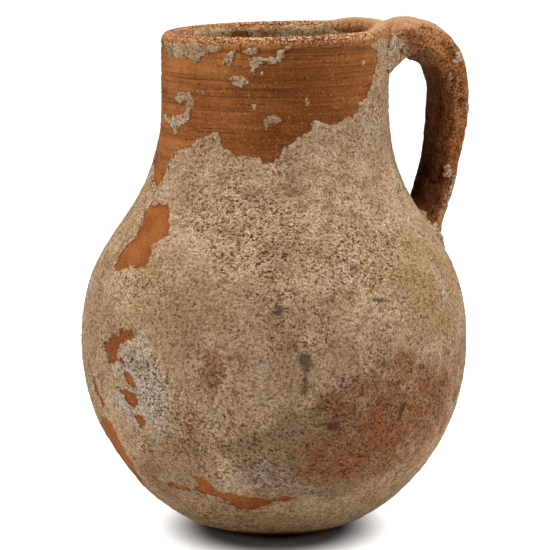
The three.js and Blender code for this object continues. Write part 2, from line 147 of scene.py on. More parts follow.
BARE_BODY = [
    [(-172, 125), (-161.5, 126.5), (-157.5, 126), (-155.5, 123), (-155, 121.3), (-152.7, 119),
     (-151, 116.5), (-153, 115.5), (-155.5, 113.5), (-156.5, 112), (-155.5, 108.5), (-155, 105.3),
     (-158, 104.6), (-161, 104.7), (-163.5, 105.2), (-166.8, 102.5), (-170, 101.2),
     (-173.5, 102.7), (-171.5, 105), (-172.5, 107.5), (-171.5, 110.3), (-170, 112.5),
     (-169.5, 115.7), (-170, 118.8), (-172.5, 121), (-172, 123.3)],
    [(-168.3, 75.8), (-164, 77.8), (-163, 80.2), (-161.5, 78.9), (-159.3, 78.6), (-158.7, 81.6),
     (-157, 82.5), (-153.5, 82.2), (-153.2, 80.6), (-156, 78.4), (-158.7, 77), (-159.3, 75),
     (-160.7, 73.2), (-161, 70), (-163, 68.8), (-165, 69.3), (-165.7, 72), (-167.8, 73.6)],
    [(-154.4, 71), (-153.9, 72.4), (-152.6, 72.3), (-152.4, 71)],
    [(-157.5, 66.5), (-155, 67.2), (-153.7, 65.8), (-152.3, 63.5), (-152.5, 61.5), (-154, 62),
     (-155.5, 63), (-157, 64.7)],
    [(-160, 59.6), (-157.5, 58.6), (-155.5, 60), (-153.5, 59.4), (-152, 57), (-152.7, 54.6),
     (-154.6, 54), (-157, 54.9), (-157.8, 57)],
    [(-155.5, 50.3), (-153, 50.6), (-151, 49.5), (-150, 47.5), (-152.5, 45.8), (-154, 48)],
    [(-178, 61), (-176.6, 60.5), (-175.4, 57.5), (-172.6, 54), (-171.8, 51), (-173.4, 50),
     (-174.4, 52.6), (-176.6, 55)],
    [(-159.5, 70.5), (-158.4, 71.6), (-157.6, 70.6), (-158.6, 69.6)],
    [(-196, 30), (-190, 40), (-180, 43.5), (-173.5, 45.5), (-170.5, 44.5), (-170, 43),
     (-169, 40.3), (-169.5, 37.3), (-169, 34), (-169, 30.8), (-168.5, 28.7), (-171, 26),
     (-171, 22), (-180, 17), (-190, 19)],
    [(-139.3, 23), (-136.5, 24.8), (-136, 28.3), (-133.7, 28), (-132, 25.7), (-129.3, 22.3),
     (-125, 22), (-119.7, 21.8), (-115.8, 21.3), (-111.3, 20.4), (-106, 21.6), (-101, 21.4),
     (-101, 20.2), (-108, 19.6), (-113.5, 17.6), (-116.5, 15.5), (-119, 15.2), (-124, 15.8),
     (-125.3, 17), (-128, 20), (-132.5, 21), (-136, 21.5)],
    [(-154, 23), (-149.5, 24.3), (-144.8, 23.6), (-141.5, 23), (-141.5, 21.6), (-144.5, 21.5),
     (-148.5, 22.2), (-152, 21.8)],
    [(97, 117), (103, 121), (106, 118), (109, 118.5), (112, 114), (110.5, 110), (114, 107),
     (111, 102), (108, 103.5), (105, 99), (102.5, 102.5), (99, 101), (98.5, 106), (95, 109),
     (98, 112)],
    [(59, 45), (63, 44), (66, 49), (69, 47), (73, 51), (79, 48), (78, 43), (83, 39), (79, 37.5),
     (77, 33), (73, 36.5), (69, 32), (66, 36), (62, 35), (61, 40), (57, 41)],
    [(132, 84), (136, 84), (138, 88), (141, 84), (144, 82), (141, 79), (142, 74), (138, 75.5),
     (136, 71), (134.5, 76), (131, 77.5)],
    [(19, 57), (21, 60.5), (22.5, 60), (23.5, 63.5), (25.5, 64), (26, 61.5), (28.5, 62),
     (29.5, 59.5), (28, 57.5), (29.5, 55), (27.5, 53.5), (27, 50), (24.5, 50.5), (22, 52.5),
     (20.5, 52)],
]
FLECKS = [
    [(-175, 181.5), (-180, 182.5), (-181, 186.2), (-167, 186.4), (-159, 186.4), (-153, 186.5),
     (-144, 186.4), (-134.5, 186), (-133.5, 185.2), (-137.5, 184.2), (-142, 183), (-145, 182),
     (-149, 179.8), (-151, 179.2), (-154.5, 180.8), (-165, 180.8)],
    [(-133.5, 181.5), (-129, 184.3), (-127.5, 184.3), (-128.5, 180.5), (-127, 178), (-129.5, 179),
     (-133.5, 179)],
    [(-125.4, 185.2), (-122.5, 184.6), (-119.5, 185.4), (-115, 184.9), (-115.8, 183.4),
     (-118.5, 182.9), (-119.5, 181.7), (-122, 182.6), (-124.6, 183.2)],
    [(-121, 181.6), (-116, 182), (-111.5, 181.6), (-106.5, 182.2), (-105.6, 184.6), (-102.5, 186),
     (-99.6, 185.8), (-102, 183.6), (-104.2, 181.6), (-104.6, 180), (-108, 179.4), (-113, 180.2),
     (-116.6, 179.4), (-117.6, 176), (-120.4, 175.4), (-119.8, 178.6)],
    [(-131.2, 174), (-128.5, 175.2), (-123.3, 174.8), (-120.8, 173.6), (-122.2, 171.8),
     (-125, 171.4), (-129.3, 172.2)],
    [(-164.5, 168.2), (-159, 168.8), (-152.5, 167), (-151.5, 163.8), (-154.5, 161.2),
     (-154.2, 158.2), (-158.5, 156.2), (-164, 154), (-166.5, 151.8), (-169.5, 153.3),
     (-173, 155.2), (-181, 156.8), (-183.5, 158.6), (-174, 157.6), (-167.5, 158.6),
     (-162.5, 159.2), (-158.8, 160.6), (-156.8, 162.6), (-158.4, 164.6), (-162.5, 163.4),
     (-167.5, 164.4)],
    [(-113.5, 157.5), (-111.5, 160.2), (-107, 160.7), (-104.2, 158.7), (-106, 157.5),
     (-110.2, 156.5), (-112.2, 155.9)],
]
CRUMBS = [
    [(-118.6, 163), (-118.4, 164.3), (-117.3, 164.9), (-116.8, 163.6), (-117.4, 162.5)],
    [(-92.6, 167.4), (-91.8, 167.2), (-90.9, 165.2), (-91.2, 164.2), (-92, 165.4)],
    [(-58.2, 177.2), (-57.3, 179), (-56.5, 177.9), (-57, 176.8)],
    [(-120.8, 167.8), (-120.3, 168.4), (-119.8, 167.8), (-120.3, 167.4)],
    [(-114.6, 175.6), (-114, 176.6), (-113.3, 176.2), (-113.7, 175.4)],
    [(-145.5, 168.3), (-144.9, 169), (-144.4, 168.4), (-144.9, 168)],
    [(150, 170), (153, 172), (156, 170.5), (153, 168)],
    [(120, 183), (126, 184.6), (129, 182.4), (124, 181)],
    [(143, 178), (146, 179.4), (148, 177.2), (145, 176)],
]
DEPOSIT_BITES = [
    [(84, 178), (86, 182), (89, 185), (96, 186), (101, 183), (100, 178), (95, 174), (88, 174)],
    [(-60, 145), (-60, 157), (-72, 163), (-85, 158), (-96, 145)],
    [(35, 145), (42, 159), (60, 166), (71, 155), (78, 145)],
    [(150, 145), (158, 154), (172, 160), (184, 152), (190, 145)],
]

# Crust on the strap, as outlines of (share of its length, degrees round its section) corners.
# 90 degrees is the outer face, 180 the side on -Y and 270 the face towards the pot.
STRAP_CRUST = {
    "root": [[(0.07, 94), (0.1, 100), (0.125, 112), (0.15, 118), (0.165, 136), (0.165, 158),
              (0.19, 156), (0.21, 176), (0.2, 196), (0.235, 204), (0.26, 226), (0.25, 250),
              (0.28, 280), (0.26, 300), (0.27, 322), (0.21, 340), (0.17, 372), (0.12, 398),
              (0.08, 404)]],
    "bend": [[(0.33, 62), (0.36, 40), (0.41, 22), (0.48, 16), (0.54, 20), (0.57, 36), (0.53, 60),
              (0.49, 52), (0.44, 74), (0.39, 80)]],
    "foot": [[(0.66, 150), (0.7, 128), (0.75, 96), (0.8, 84), (0.84, 88), (0.87, 112), (0.85, 140),
              (0.8, 132), (0.76, 156), (0.7, 172)]],
}
STRAP_CRUMBS = [
    [(0.335, 168), (0.345, 150), (0.365, 156), (0.36, 178), (0.345, 184)],
    [(0.375, 196), (0.4, 188), (0.405, 202), (0.385, 210)],
    [(0.475, 150), (0.485, 140), (0.5, 146), (0.497, 162), (0.48, 164)],
    [(0.655, 184), (0.67, 172), (0.69, 178), (0.685, 190), (0.665, 194)],
    [(0.26, 96), (0.27, 84), (0.285, 92), (0.28, 106)],
    [(0.6, 70), (0.61, 56), (0.63, 62), (0.625, 78)],
]

# Dents in the strap, painted dark as dirt and as painted shade: share of its length, degrees, half
# length and depth in mm
STRAP_VOIDS = [
    (0.33, 182, 4.4, 0.6), (0.4, 196, 3.0, 0.5), (0.47, 178, 2.6, 0.5), (0.56, 192, 3.2, 0.5),
    (0.685, 196, 3.0, 0.6), (0.43, 12, 3.4, 0.6), (0.58, 350, 2.8, 0.5), (0.5, 78, 2.4, 0.4),
    (0.66, 104, 2.2, 0.4), (0.3, 84, 2.4, 0.4),
]

# Tints of the crust: kind, strength, softness of the edge, and an outline of (degrees, height)
TINTS = [
    ("blush", 0.9, 22, [(-93, 68), (-86, 76), (-74, 78), (-58, 73), (-41, 66), (-29, 52),
        (-34, 38), (-54, 32), (-66, 26), (-80, 27), (-88, 38), (-90, 52), (-95, 60)]),
    ("blush", 0.9, 15, [(-66, 26), (-91, 24), (-105, 27), (-106, 35), (-98, 41), (-93, 48),
        (-91, 56), (-84, 56), (-74, 50), (-66, 38)]),
    # This silt patch on the low front is partly a browner crust and partly painted shade, which
    # darkens it
    ("silt", 1.0, 9, [(-114, 20), (-122, 34), (-128, 46), (-110, 56), (-92, 62), (-68, 58),
        (-58, 30), (-80, 18)]),
    ("silt", 0.5, 9, [(-150, 98), (-132, 104), (-118, 100), (-120, 84), (-136, 74), (-150, 84)]),
    ("silt", 0.7, 8, [(-168, 26), (-152, 46), (-134, 50), (-126, 38), (-128, 24), (-140, 16),
        (-160, 16)]),
    ("silt", 0.8, 6, [(-126, 136), (-100, 137), (-84, 132), (-98, 128), (-122, 130)]),
    ("silt", 0.5, 9, [(80, 60), (120, 66), (140, 50), (110, 34), (70, 30)]),
    ("blush", 0.75, 4, [(-130, 64), (-130, 76), (-126, 81), (-122, 77), (-122, 64), (-126, 61)]),
    ("blush", 0.7, 2.5, [(-107, 79), (-104, 83), (-99, 81), (-100, 78)]),
    ("blush", 0.6, 2.5, [(-83, 103), (-82, 108), (-78, 108), (-79, 102)]),
    ("blush", 0.5, 3, [(-92, 50), (-91, 55), (-88, 54), (-88, 50)]),
    ("bloom", 0.66, 9, [(-160, 79), (-150, 82), (-143, 78), (-146, 70), (-140, 63), (-142, 55),
        (-137, 46), (-148, 42), (-158, 46), (-166, 54), (-160, 62), (-166, 70)]),
    ("bloom", 0.4, 5, [(-114, 76), (-108, 77), (-107, 70), (-113, 64)]),
    ("bloom", 0.45, 3, [(-79, 96), (-76, 94), (-75, 86), (-79, 86)]),
    ("bloom", 0.55, 5, [(-48, 106), (-41, 104), (-40, 88), (-46, 88)]),
    ("bloom", 0.3, 5, [(-91, 103), (-86, 103), (-86, 98), (-91, 99)]),
    ("bloom", 0.35, 6, [(-90, 71), (-84, 70), (-86, 63), (-96, 62)]),
    ("bloom", 0.3, 8, [(-144, 28), (-126, 30), (-114, 39), (-104, 37), (-96, 28), (-86, 25),
        (-92, 17), (-104, 23), (-122, 24), (-134, 30)]),
    ("bloom", 0.4, 9, [(-70, 150), (-54, 160), (-44, 168), (-40, 150), (-58, 140)]),
    # This ochre band along the foot on the near side is partly yellow-brown soil and partly painted
    # light, which lightens the underside as the floor's bounce would
    ("ochre", 0.55, 5, [(-165, 2), (-158, 15), (-138, 17), (-118, 13), (-90, 15), (-60, 17),
        (-40, 14), (-36, 2)]),
    ("ochre", 0.8, 8, [(-54, 119), (-38, 112), (-30, 100), (-30, 84), (-39, 73), (-58, 77),
        (-67, 90), (-69, 105)]),
    ("ochre", 0.35, 10, [(-150, 100), (-128, 104), (-112, 96), (-118, 84), (-146, 86)]),
    ("stain", 0.85, 1.4, [(-109, 91), (-108, 95), (-105.5, 94), (-105.5, 91)]),
    ("stain", 0.95, 0.9, [(-79.5, 95.6), (-76, 95.9), (-70.5, 94.6), (-71, 93.4), (-76, 94.2)]),
    ("stain", 0.9, 1.4, [(-76, 75), (-74.5, 75), (-74, 71), (-76, 71)]),
    ("stain", 0.75, 1.8, [(-62, 71), (-59, 71), (-59, 67), (-62, 67)]),
    ("stain", 0.85, 2.4, [(-102.5, 77), (-101, 80), (-97.5, 78.5), (-96, 74), (-98, 70),
        (-97.5, 65), (-99, 60), (-101, 64), (-100.5, 70)]),
    ("stain", 0.8, 1.8, [(-93, 52), (-88.5, 51.5), (-88.5, 49), (-92, 48.5)]),
    ("stain", 0.5, 2.5, [(-105, 41), (-101, 41), (-101, 37), (-105, 37)]),
    ("stain", 0.5, 2.5, [(-111, 34), (-107, 34), (-107, 30), (-111, 30)]),
    ("stain", 0.55, 2, [(-98, 23.5), (-86, 23.8), (-86, 22.2), (-97, 21.8)]),
    ("pitted", 1.0, 9, [(-149, 130), (-125, 136), (-101, 136), (-97, 120), (-104, 101),
        (-124, 105), (-143, 117)]),
    ("pitted", 1.0, 7, [(-86, 122), (-60, 117), (-63, 103), (-73, 98), (-85, 98), (-90, 110)]),
    ("pitted", 1.0, 8, [(-156, 76), (-146, 77), (-141, 68), (-136, 62), (-141, 52), (-150, 55),
        (-152, 64)]),
    ("pitted", 0.75, 8, [(-118, 100), (-104, 104), (-94, 96), (-88, 88), (-94, 74), (-104, 70),
        (-108, 84)]),
    ("pitted", 0.7, 8, [(-140, 52), (-124, 58), (-108, 48), (-104, 34), (-124, 30), (-138, 38)]),
    ("blush", 0.7, 13, [(60, 88), (84, 96), (100, 84), (92, 64), (66, 60)]),
    ("blush", 0.4, 8, [(150, 60), (166, 66), (172, 48), (154, 42)]),
    ("bloom", 0.6, 12, [(118, 66), (127, 58), (140, 62), (136, 46), (144, 34), (131, 38),
        (122, 30)]),
    ("bloom", 0.5, 12, [(0, 88), (12, 86), (24, 96), (26, 84), (34, 78), (18, 76), (8, 68)]),
    ("ochre", 0.6, 10, [(20, 120), (52, 124), (60, 100), (28, 96)]),
    ("ochre", 0.5, 10, [(150, 118), (172, 112), (168, 92), (146, 98)]),
    ("stain", 0.7, 2, [(46, 76), (50, 77), (51, 72), (47, 70)]),
    ("stain", 0.7, 1.6, [(86, 112), (92, 112.6), (92, 111), (87, 110)]),
    ("stain", 1.0, 0.8, [(-67.6, 56.5), (-66, 57), (-66.4, 53.5), (-67.2, 50.5), (-68.4, 52)]),
    ("stain", 0.6, 2.6, [(-14, 60), (-9, 62), (-8, 56), (-13, 54)]),
    ("pitted", 1.0, 9, [(60, 134), (120, 134), (116, 122), (70, 112)]),
    ("pitted", 0.6, 10, [(-104, 28), (-98, 48), (-88, 74), (-58, 74), (-30, 52), (-60, 26)]),
    ("pitted", 0.8, 8, [(-20, 112), (10, 108), (14, 86), (-16, 88)]),
    ("pitted", 0.8, 8, [(110, 92), (150, 96), (148, 76), (116, 72)]),
]


def linear(hex_text):
    """A colour written as sRGB hex, in the linear values that Blender takes."""
    parts = [int(hex_text[i:i + 2], 16) / 255 for i in (1, 3, 5)]
    return (*[c / 12.92 if c <= 0.04045 else ((c + 0.055) / 1.055) ** 2.4 for c in parts], 1.0)


def ease(value, low, high):
    """0 below low and 1 above high, with a smooth rise between."""
    share = np.clip((value - low) / (high - low), 0, 1)
    return share * share * (3 - 2 * share)


def lumps(points, size, seed):
    """Smooth bumps from -1 to 1 that are about size mm apart, the same on every run."""
    place = points / size
    cell = np.floor(place).astype(np.int64)
    share = place - cell
    share = share * share * (3 - 2 * share)
    total = np.zeros(points.shape[:-1])
    for corner in np.ndindex(2, 2, 2):
        at = cell + np.array(corner)
        number = at[..., 0] * 374761393 + at[..., 1] * 668265263 + at[..., 2] * 1440662683
        number = (number + seed * 974634777) & 0xFFFFFFFF
        number = ((number ^ (number >> 13)) * 1274126177) & 0xFFFFFFFF
        number = ((number ^ (number >> 16)) & 0xFFFFFF) / 0xFFFFFF
        total += number * np.where(np.array(corner) == 1, share, 1 - share).prod(-1)
    return total * 2 - 1


def rough(points, *layers):
    """The sum of lumps that are given as (height in mm, size in mm, seed)."""
    return sum(height * lumps(points, size, seed) for height, size, seed in layers)


def bell(value, middle, width):
    """1 at the middle, falling off smoothly on both sides."""
    return np.exp(-(((value - middle) / width) ** 2))


def wrapped(turn):
    """An angle between half a turn back and half a turn on."""
    return (turn + math.pi) % (2 * math.pi) - math.pi


class Outline:
    """A line of (radius, height) points, read by the length in mm from its start."""

    def __init__(self, points):
        steps = np.hypot(*np.diff(points, axis=0).T)
        kept = steps > 1e-9
        self.points = np.concatenate([points[:1], points[1:][kept]])
        self.run = np.concatenate([[0.0], np.cumsum(steps[kept])])

    def at(self, run):
        return np.stack([np.interp(run, self.run, self.points[:, k]) for k in (0, 1)], -1)

    def facing(self, run):
        ahead = self.at(run + 0.3) - self.at(run - 0.3)
        ahead /= np.linalg.norm(ahead, axis=-1, keepdims=True)
        return np.stack([ahead[..., 1], -ahead[..., 0]], -1)


def bezier(corners, count):
    """Points on the curve with these four corners."""
    share = np.linspace(0, 1, count)[:, None]
    a, b, c, d = (np.array(corner, float) for corner in corners)
    left = 1 - share
    return a * left**3 + 3 * b * left**2 * share + 3 * c * left * share**2 + d * share**3


def outside_parts():
    """The outside of the pot from the edge of its base to the lip: globe, shoulder and throat."""
    turn = np.linspace(-math.asin(BELLY_HEIGHT / GLOBE_HALF_HEIGHT), 0, 400)
    globe = np.stack(
        [BELLY_RADIUS * np.cos(turn), BELLY_HEIGHT + GLOBE_HALF_HEIGHT * np.sin(turn)], 1
    )
    rise = SHOULDER_HEIGHT - BELLY_HEIGHT
    shoulder = bezier([
        (BELLY_RADIUS, BELLY_HEIGHT),
        (BELLY_RADIUS, BELLY_HEIGHT + rise * BELLY_FULLNESS),
        (SHOULDER_RADIUS + SHOULDER_SLOPE * rise * SHOULDER_FULLNESS,
         SHOULDER_HEIGHT - rise * SHOULDER_FULLNESS),
        (SHOULDER_RADIUS, SHOULDER_HEIGHT),
    ], CURVE_STEPS)
    rise = NECK_FOOT_HEIGHT - SHOULDER_HEIGHT
    throat = bezier([
        (SHOULDER_RADIUS, SHOULDER_HEIGHT),
        (SHOULDER_RADIUS - SHOULDER_SLOPE * rise * THROAT_FOOT_FULLNESS,
         SHOULDER_HEIGHT + rise * THROAT_FOOT_FULLNESS),
        (NECK_RADIUS, NECK_FOOT_HEIGHT - rise * THROAT_TOP_FULLNESS),
        (NECK_RADIUS, NECK_FOOT_HEIGHT),
    ], CURVE_STEPS + 1)
    return globe, shoulder, throat


def neck_and_lip(lowest_inside):
    """The straight neck, the round lip with the potter's grooves under it, and the inside wall."""
    lip_foot = RIM_HEIGHT - LIP_HEIGHT
    height = np.linspace(NECK_FOOT_HEIGHT, lip_foot, 240)
    radius = np.full(240, NECK_RADIUS)
    for groove, depth, width in ((183.7, 0.3, 0.7), (180.4, 0.12, 0.5), (177.6, 0.16, 0.45),
                                 (173.2, 0.2, 0.4), (166.6, 0.22, 0.5), (164.8, 0.16, 0.4)):
        radius -= depth * bell(height, groove, width)
    turn = np.linspace(0, math.pi, 120)
    lip = np.stack([
        NECK_RADIUS - NECK_WALL / 2 + NECK_WALL / 2 * np.cos(turn),
        lip_foot + LIP_HEIGHT * np.sin(turn),
    ], 1)
    down = np.linspace(lip_foot, lowest_inside, 200)
    inside = np.stack([np.full(200, NECK_RADIUS - NECK_WALL), down], 1)
    return np.concatenate([np.stack([radius, height], 1), lip, inside])


GLOBE, SHOULDER, THROAT = outside_parts()
SEAM_STEP = round(SEAM_SHARE * CURVE_STEPS)
SEAM = THROAT[SEAM_STEP]
SKIN = Outline(np.concatenate([GLOBE, SHOULDER, THROAT, neck_and_lip(130.0)]))
CREST = SKIN.run[np.argmax(SKIN.points[:, 1])]
OUTSIDE = SKIN.points[SKIN.run <= CREST]


def run_at(height):
    """Length along the outside of the pot at a height. Past the lip it goes on at the same rate."""
    run = np.interp(height, OUTSIDE[:, 1], SKIN.run[:len(OUTSIDE)])
    return run + np.maximum(height - RIM_HEIGHT, 0)


def lean(points):
    """The rim rises to one side, more and more from the neck's foot to the lip."""
    to_high_side = (points[..., 0] * math.cos(RIM_HIGH_SIDE)
                    + points[..., 1] * math.sin(RIM_HIGH_SIDE))
    leant = points.copy()
    share = ease(points[..., 2], TILT_STARTS, RIM_HEIGHT)
    leant[..., 2] += to_high_side * math.tan(RIM_TILT) * share
    return leant


def pot_skin(angle, run, lift):
    """Points that stand lift mm off the pot's clay."""
    place = SKIN.at(run) + SKIN.facing(run) * np.broadcast_to(lift, run.shape)[..., None]
    radius, height = place[..., 0], place[..., 1]
    return lean(np.stack([radius * np.cos(angle), radius * np.sin(angle), height], -1))


def off_axis(points):
    """How far points are from the Z axis."""
    return np.hypot(points[..., 0], points[..., 1])


def off_pot(points):
    """How far points are from the outside of the pot, as if it were filled; negative inside it."""
    height = 2 * points[..., 2] - lean(points)[..., 2]
    radius = off_axis(points)
    line = SKIN.at(np.arange(0, CREST, 0.5))
    gap = np.full(radius.shape, 1e9)
    for r, z in line:
        gap = np.minimum(gap, (radius - r) ** 2 + (height - z) ** 2)
    edge = np.interp(height, line[:, 1], line[:, 0])
    inside = (radius < edge) & (height < RIM_HEIGHT)
    return np.where(inside, -1, 1) * np.sqrt(gap)


def depth_in(outline, angle, along, to_along, scale):
    """How deep in mm each point is inside an outline; negative outside it. The outline is given in
    degrees and in what to_along turns into mm, and scale is the mm that one radian is there."""
    corners = np.array([(math.radians(a), to_along(b)) for a, b in outline])
    middle = corners[:, 0].mean()
    turn = wrapped(angle - middle)
    x_corners, y_corners = corners[:, 0] - middle, corners[:, 1]
    near = ((np.abs(turn) < np.abs(x_corners).max() + 0.25)
            & (along > y_corners.min() + FAR) & (along < y_corners.max() - FAR))
    depth = np.full(angle.shape, FAR)
    x, y, unit = turn[near], along[near], scale[near]
    nearest, inside = np.full(x.shape, 1e9), np.zeros(x.shape, bool)
    for k in range(len(corners)):
        ax, ay = (x_corners[k] - x) * unit, y_corners[k] - y
        bx, by = (x_corners[k - 1] - x) * unit, y_corners[k - 1] - y
        dx, dy = bx - ax, by - ay
        share = np.clip(-(ax * dx + ay * dy) / np.maximum(dx * dx + dy * dy, 1e-12), 0, 1)
        nearest = np.minimum(nearest, np.hypot(ax + share * dx, ay + share * dy))
        crosses = (ay > 0) != (by > 0)
        inside ^= crosses & (ax - ay * dx / np.where(crosses, dy, 1) > 0)
    depth[near] = np.where(inside, nearest, -nearest)
    return depth


def depth_in_any(outlines, *grid):
    """How deep in mm each point is inside the nearest of some outlines."""
    return np.max([depth_in(outline, *grid) for outline in outlines], axis=0).clip(FAR)


def clipped(corners, value):
    """Triangles cut where value falls to zero. Returns the new triangles, with the new corners
    numbered after the old ones, and for each new corner its two ends and its share between them."""
    inside = value > 0
    count = inside[corners].sum(1)
    cut = corners[(count == 1) | (count == 2)]
    flags = inside[cut]
    odd = np.where(flags.sum(1) == 1, flags.argmax(1), (~flags).argmax(1))
    cut = np.take_along_axis(cut, (odd[:, None] + np.arange(3)) % 3, 1)
    ends = np.sort(np.concatenate([cut[:, [0, 1]], cut[:, [0, 2]]]), 1)
    ends, index = np.unique(ends, axis=0, return_inverse=True)
    index = index.ravel() + len(value)
    half = len(cut)
    first, second = index[:half], index[half:]
    alone = inside[cut[:, 0]]
    pieces = [
        corners[count == 3],
        np.stack([cut[:, 0], first, second], 1)[alone],
        np.stack([first, cut[:, 1], cut[:, 2]], 1)[~alone],
        np.stack([first, cut[:, 2], second], 1)[~alone],
    ]
    low, high = value[ends[:, 0]], value[ends[:, 1]]
    share = np.clip(low / np.where(low == high, 1, low - high), 0.03, 0.97)
    return np.concatenate(pieces), ends, share


def grid_triangles(rows, columns, wraps):
    """Two triangles for each cell of a grid whose rows run up and whose columns run round."""
    row, column = np.meshgrid(np.arange(rows - 1), np.arange(columns if wraps else columns - 1),
                              indexing="ij")
    a = row * columns + column
    b = row * columns + (column + 1) % columns
    c, d = b + columns, a + columns
    swap = ((row + column) % 2 == 0)
    one = np.where(swap[..., None], np.stack([a, b, c], -1), np.stack([a, b, d], -1))
    two = np.where(swap[..., None], np.stack([a, c, d], -1), np.stack([b, c, d], -1))
    return np.concatenate([one.reshape(-1, 3), two.reshape(-1, 3)])


def grid_normals(points, wraps):
    """Outward directions on a grid of points."""
    around = (np.roll(points, -1, 1) - np.roll(points, 1, 1) if wraps
              else np.gradient(points, axis=1))
    normal = np.cross(around, np.gradient(points, axis=0))
    return normal / np.maximum(np.linalg.norm(normal, axis=-1, keepdims=True), 1e-12)


def new_object(name, points, triangles, material, smooth=None, normals=None, tints=None, uv=None):
    """An object from points in mm and triangles. normals holds one direction for each corner."""
    mesh = bpy.data.meshes.new(name)
    mesh.vertices.add(len(points))
    mesh.vertices.foreach_set("co", (points / 1000).astype(np.float32).ravel())
    mesh.loops.add(triangles.size)
    mesh.loops.foreach_set("vertex_index", triangles.astype(np.int32).ravel())
    mesh.polygons.add(len(triangles))
    mesh.polygons.foreach_set("loop_start", np.arange(0, triangles.size, 3, dtype=np.int32))
    mesh.update(calc_edges=True)
    mesh.polygons.foreach_set("use_smooth", np.ones(len(triangles), bool) if smooth is None
                              else smooth)
    for kind, values in (tints or {}).items():
        layer = mesh.attributes.new(kind, "FLOAT", "POINT")
        layer.data.foreach_set("value", values.astype(np.float32))
    if uv is not None:
        layer = mesh.uv_layers.new(name="OFBake", do_init=False)
        layer.uv.foreach_set("vector", uv.astype(np.float32).ravel())
    if normals is not None:
        mesh.normals_split_custom_set(normals.reshape(-1, 3))
    mesh.materials.append(material)
    mesh.validate()
    thing = bpy.data.objects.new(name, mesh)
    bpy.context.scene.collection.objects.link(thing)
    return thing


def settle(thing, slot, *nodes):
    """The piece moves with the pot and stands for solid nodes. Its slot is not used."""
    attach(thing, "root")
    if nodes:
        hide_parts(*nodes)


def shell(name, outer, inner, cover, wraps, material, tints=None, normals=None):
    """A closed skin between an outer and an inner grid of points, kept where cover is above zero.
    tints are values for each grid point that the material reads."""
    rows, columns = cover.shape
    value = cover.ravel()
    triangles, ends, share = clipped(grid_triangles(rows, columns, wraps), value)
    if normals is None:
        normals = grid_normals(outer, wraps)
    used, triangles = np.unique(triangles, return_inverse=True)
    triangles = triangles.reshape(-1, 3)
    count = len(used)

    def kept(flat):
        """Values of the grid's points and of the cuts between them, where they are used."""
        part = share if flat.ndim == 1 else share[:, None]
        cuts = flat[ends[:, 0]] * (1 - part) + flat[ends[:, 1]] * part
        return np.concatenate([flat, cuts])[used]

    top, bottom, facing = (kept(grid.reshape(-1, 3)) for grid in (outer, inner, normals))
    edges = np.concatenate([triangles[:, [0, 1]], triangles[:, [1, 2]], triangles[:, [2, 0]]])
    code = np.sort(edges, 1) @ np.array([count, 1])
    _, position, times = np.unique(code, return_index=True, return_counts=True)
    rim = edges[position[times == 1]]
    a, b = rim[:, 0], rim[:, 1]
    walls = np.concatenate([
        np.stack([b, a, a + count], 1), np.stack([b, a + count, b + count], 1),
    ])
    faces = np.concatenate([triangles, triangles[:, ::-1] + count, walls])
    smooth = np.zeros(len(faces), bool)
    smooth[:len(triangles)] = True
    corner_normals = np.zeros((len(faces), 3, 3))
    corner_normals[:len(triangles)] = facing[triangles]
    values = {kind: np.tile(kept(grid.ravel()), 2) for kind, grid in (tints or {}).items()}
    uv = None
    if not wraps:
        # The top takes most of the map, and the underside a strip over it
        across, along = np.meshgrid(np.linspace(0, 1, columns), np.linspace(0, 1, rows))
        flat = kept(np.stack([across.ravel(), along.ravel()], 1))
        top_uv = 0.01 + flat * [0.98, 0.9]
        under_uv = 0.01 + flat * [0.98, 0.03] + [0, 0.94]
        uv = np.concatenate([top_uv, under_uv])[faces].reshape(-1, 2)
    return new_object(name, np.concatenate([top, bottom]), faces, material, smooth,
                      corner_normals, values, uv)


def add_node(tree, name, kind, settings=None, inputs=None):
    """Adds a node under a name. An input given as "node>output" is linked to that output."""
    node = tree.nodes.new(kind)
    node.name = node.label = name
    for key, value in (settings or {}).items():
        setattr(node, key, value)
    for key, value in (inputs or {}).items():
        if isinstance(value, str) and ">" in value:
            source, output = value.split(">")
            output = int(output) if output.isdigit() else output
            tree.links.new(tree.nodes[source].outputs[output], node.inputs[key])
        else:
            node.inputs[key].default_value = value
    return node


PLACE = "place>Object"


class Nodes:
    """Adds nodes to one tree. Each method returns its node's output as "node>output"."""

    def __init__(self, tree):
        self.tree = tree

    def node(self, name, kind, settings=None, inputs=None, output=0):
        add_node(self.tree, name, kind, settings, inputs)
        return f"{name}>{output}"

    def noise(self, name, scale, detail=2.0, roughness=0.5, vector=PLACE):
        """Noise with scale cells to the metre."""
        return self.node(name, "ShaderNodeTexNoise", None, {
            "Vector": vector, "Scale": scale, "Detail": detail, "Roughness": roughness,
        })

    def ramp(self, name, source, low, high, top=1.0, bottom=0.0, smooth=False):
        """From bottom, where source is at low, to top, where it is at high."""
        settings = {"interpolation_type": "SMOOTHSTEP"} if smooth else None
        return self.node(name, "ShaderNodeMapRange", settings, {
            "Value": source, "From Min": low, "From Max": high, "To Min": bottom, "To Max": top,
        })

    def reckon(self, name, operation, *values):
        """A step of arithmetic on values or outputs."""
        return self.node(name, "ShaderNodeMath", {"operation": operation}, dict(enumerate(values)))

    def vector(self, name, operation, output, *values):
        """A step of arithmetic on vectors."""
        return self.node(name, "ShaderNodeVectorMath", {"operation": operation},
                         dict(enumerate(values)), output)

    def split(self, name, vector):
        """After this the parts of a vector are name>0, name>1 and name>2."""
        return self.node(name, "ShaderNodeSeparateXYZ", None, {0: vector})


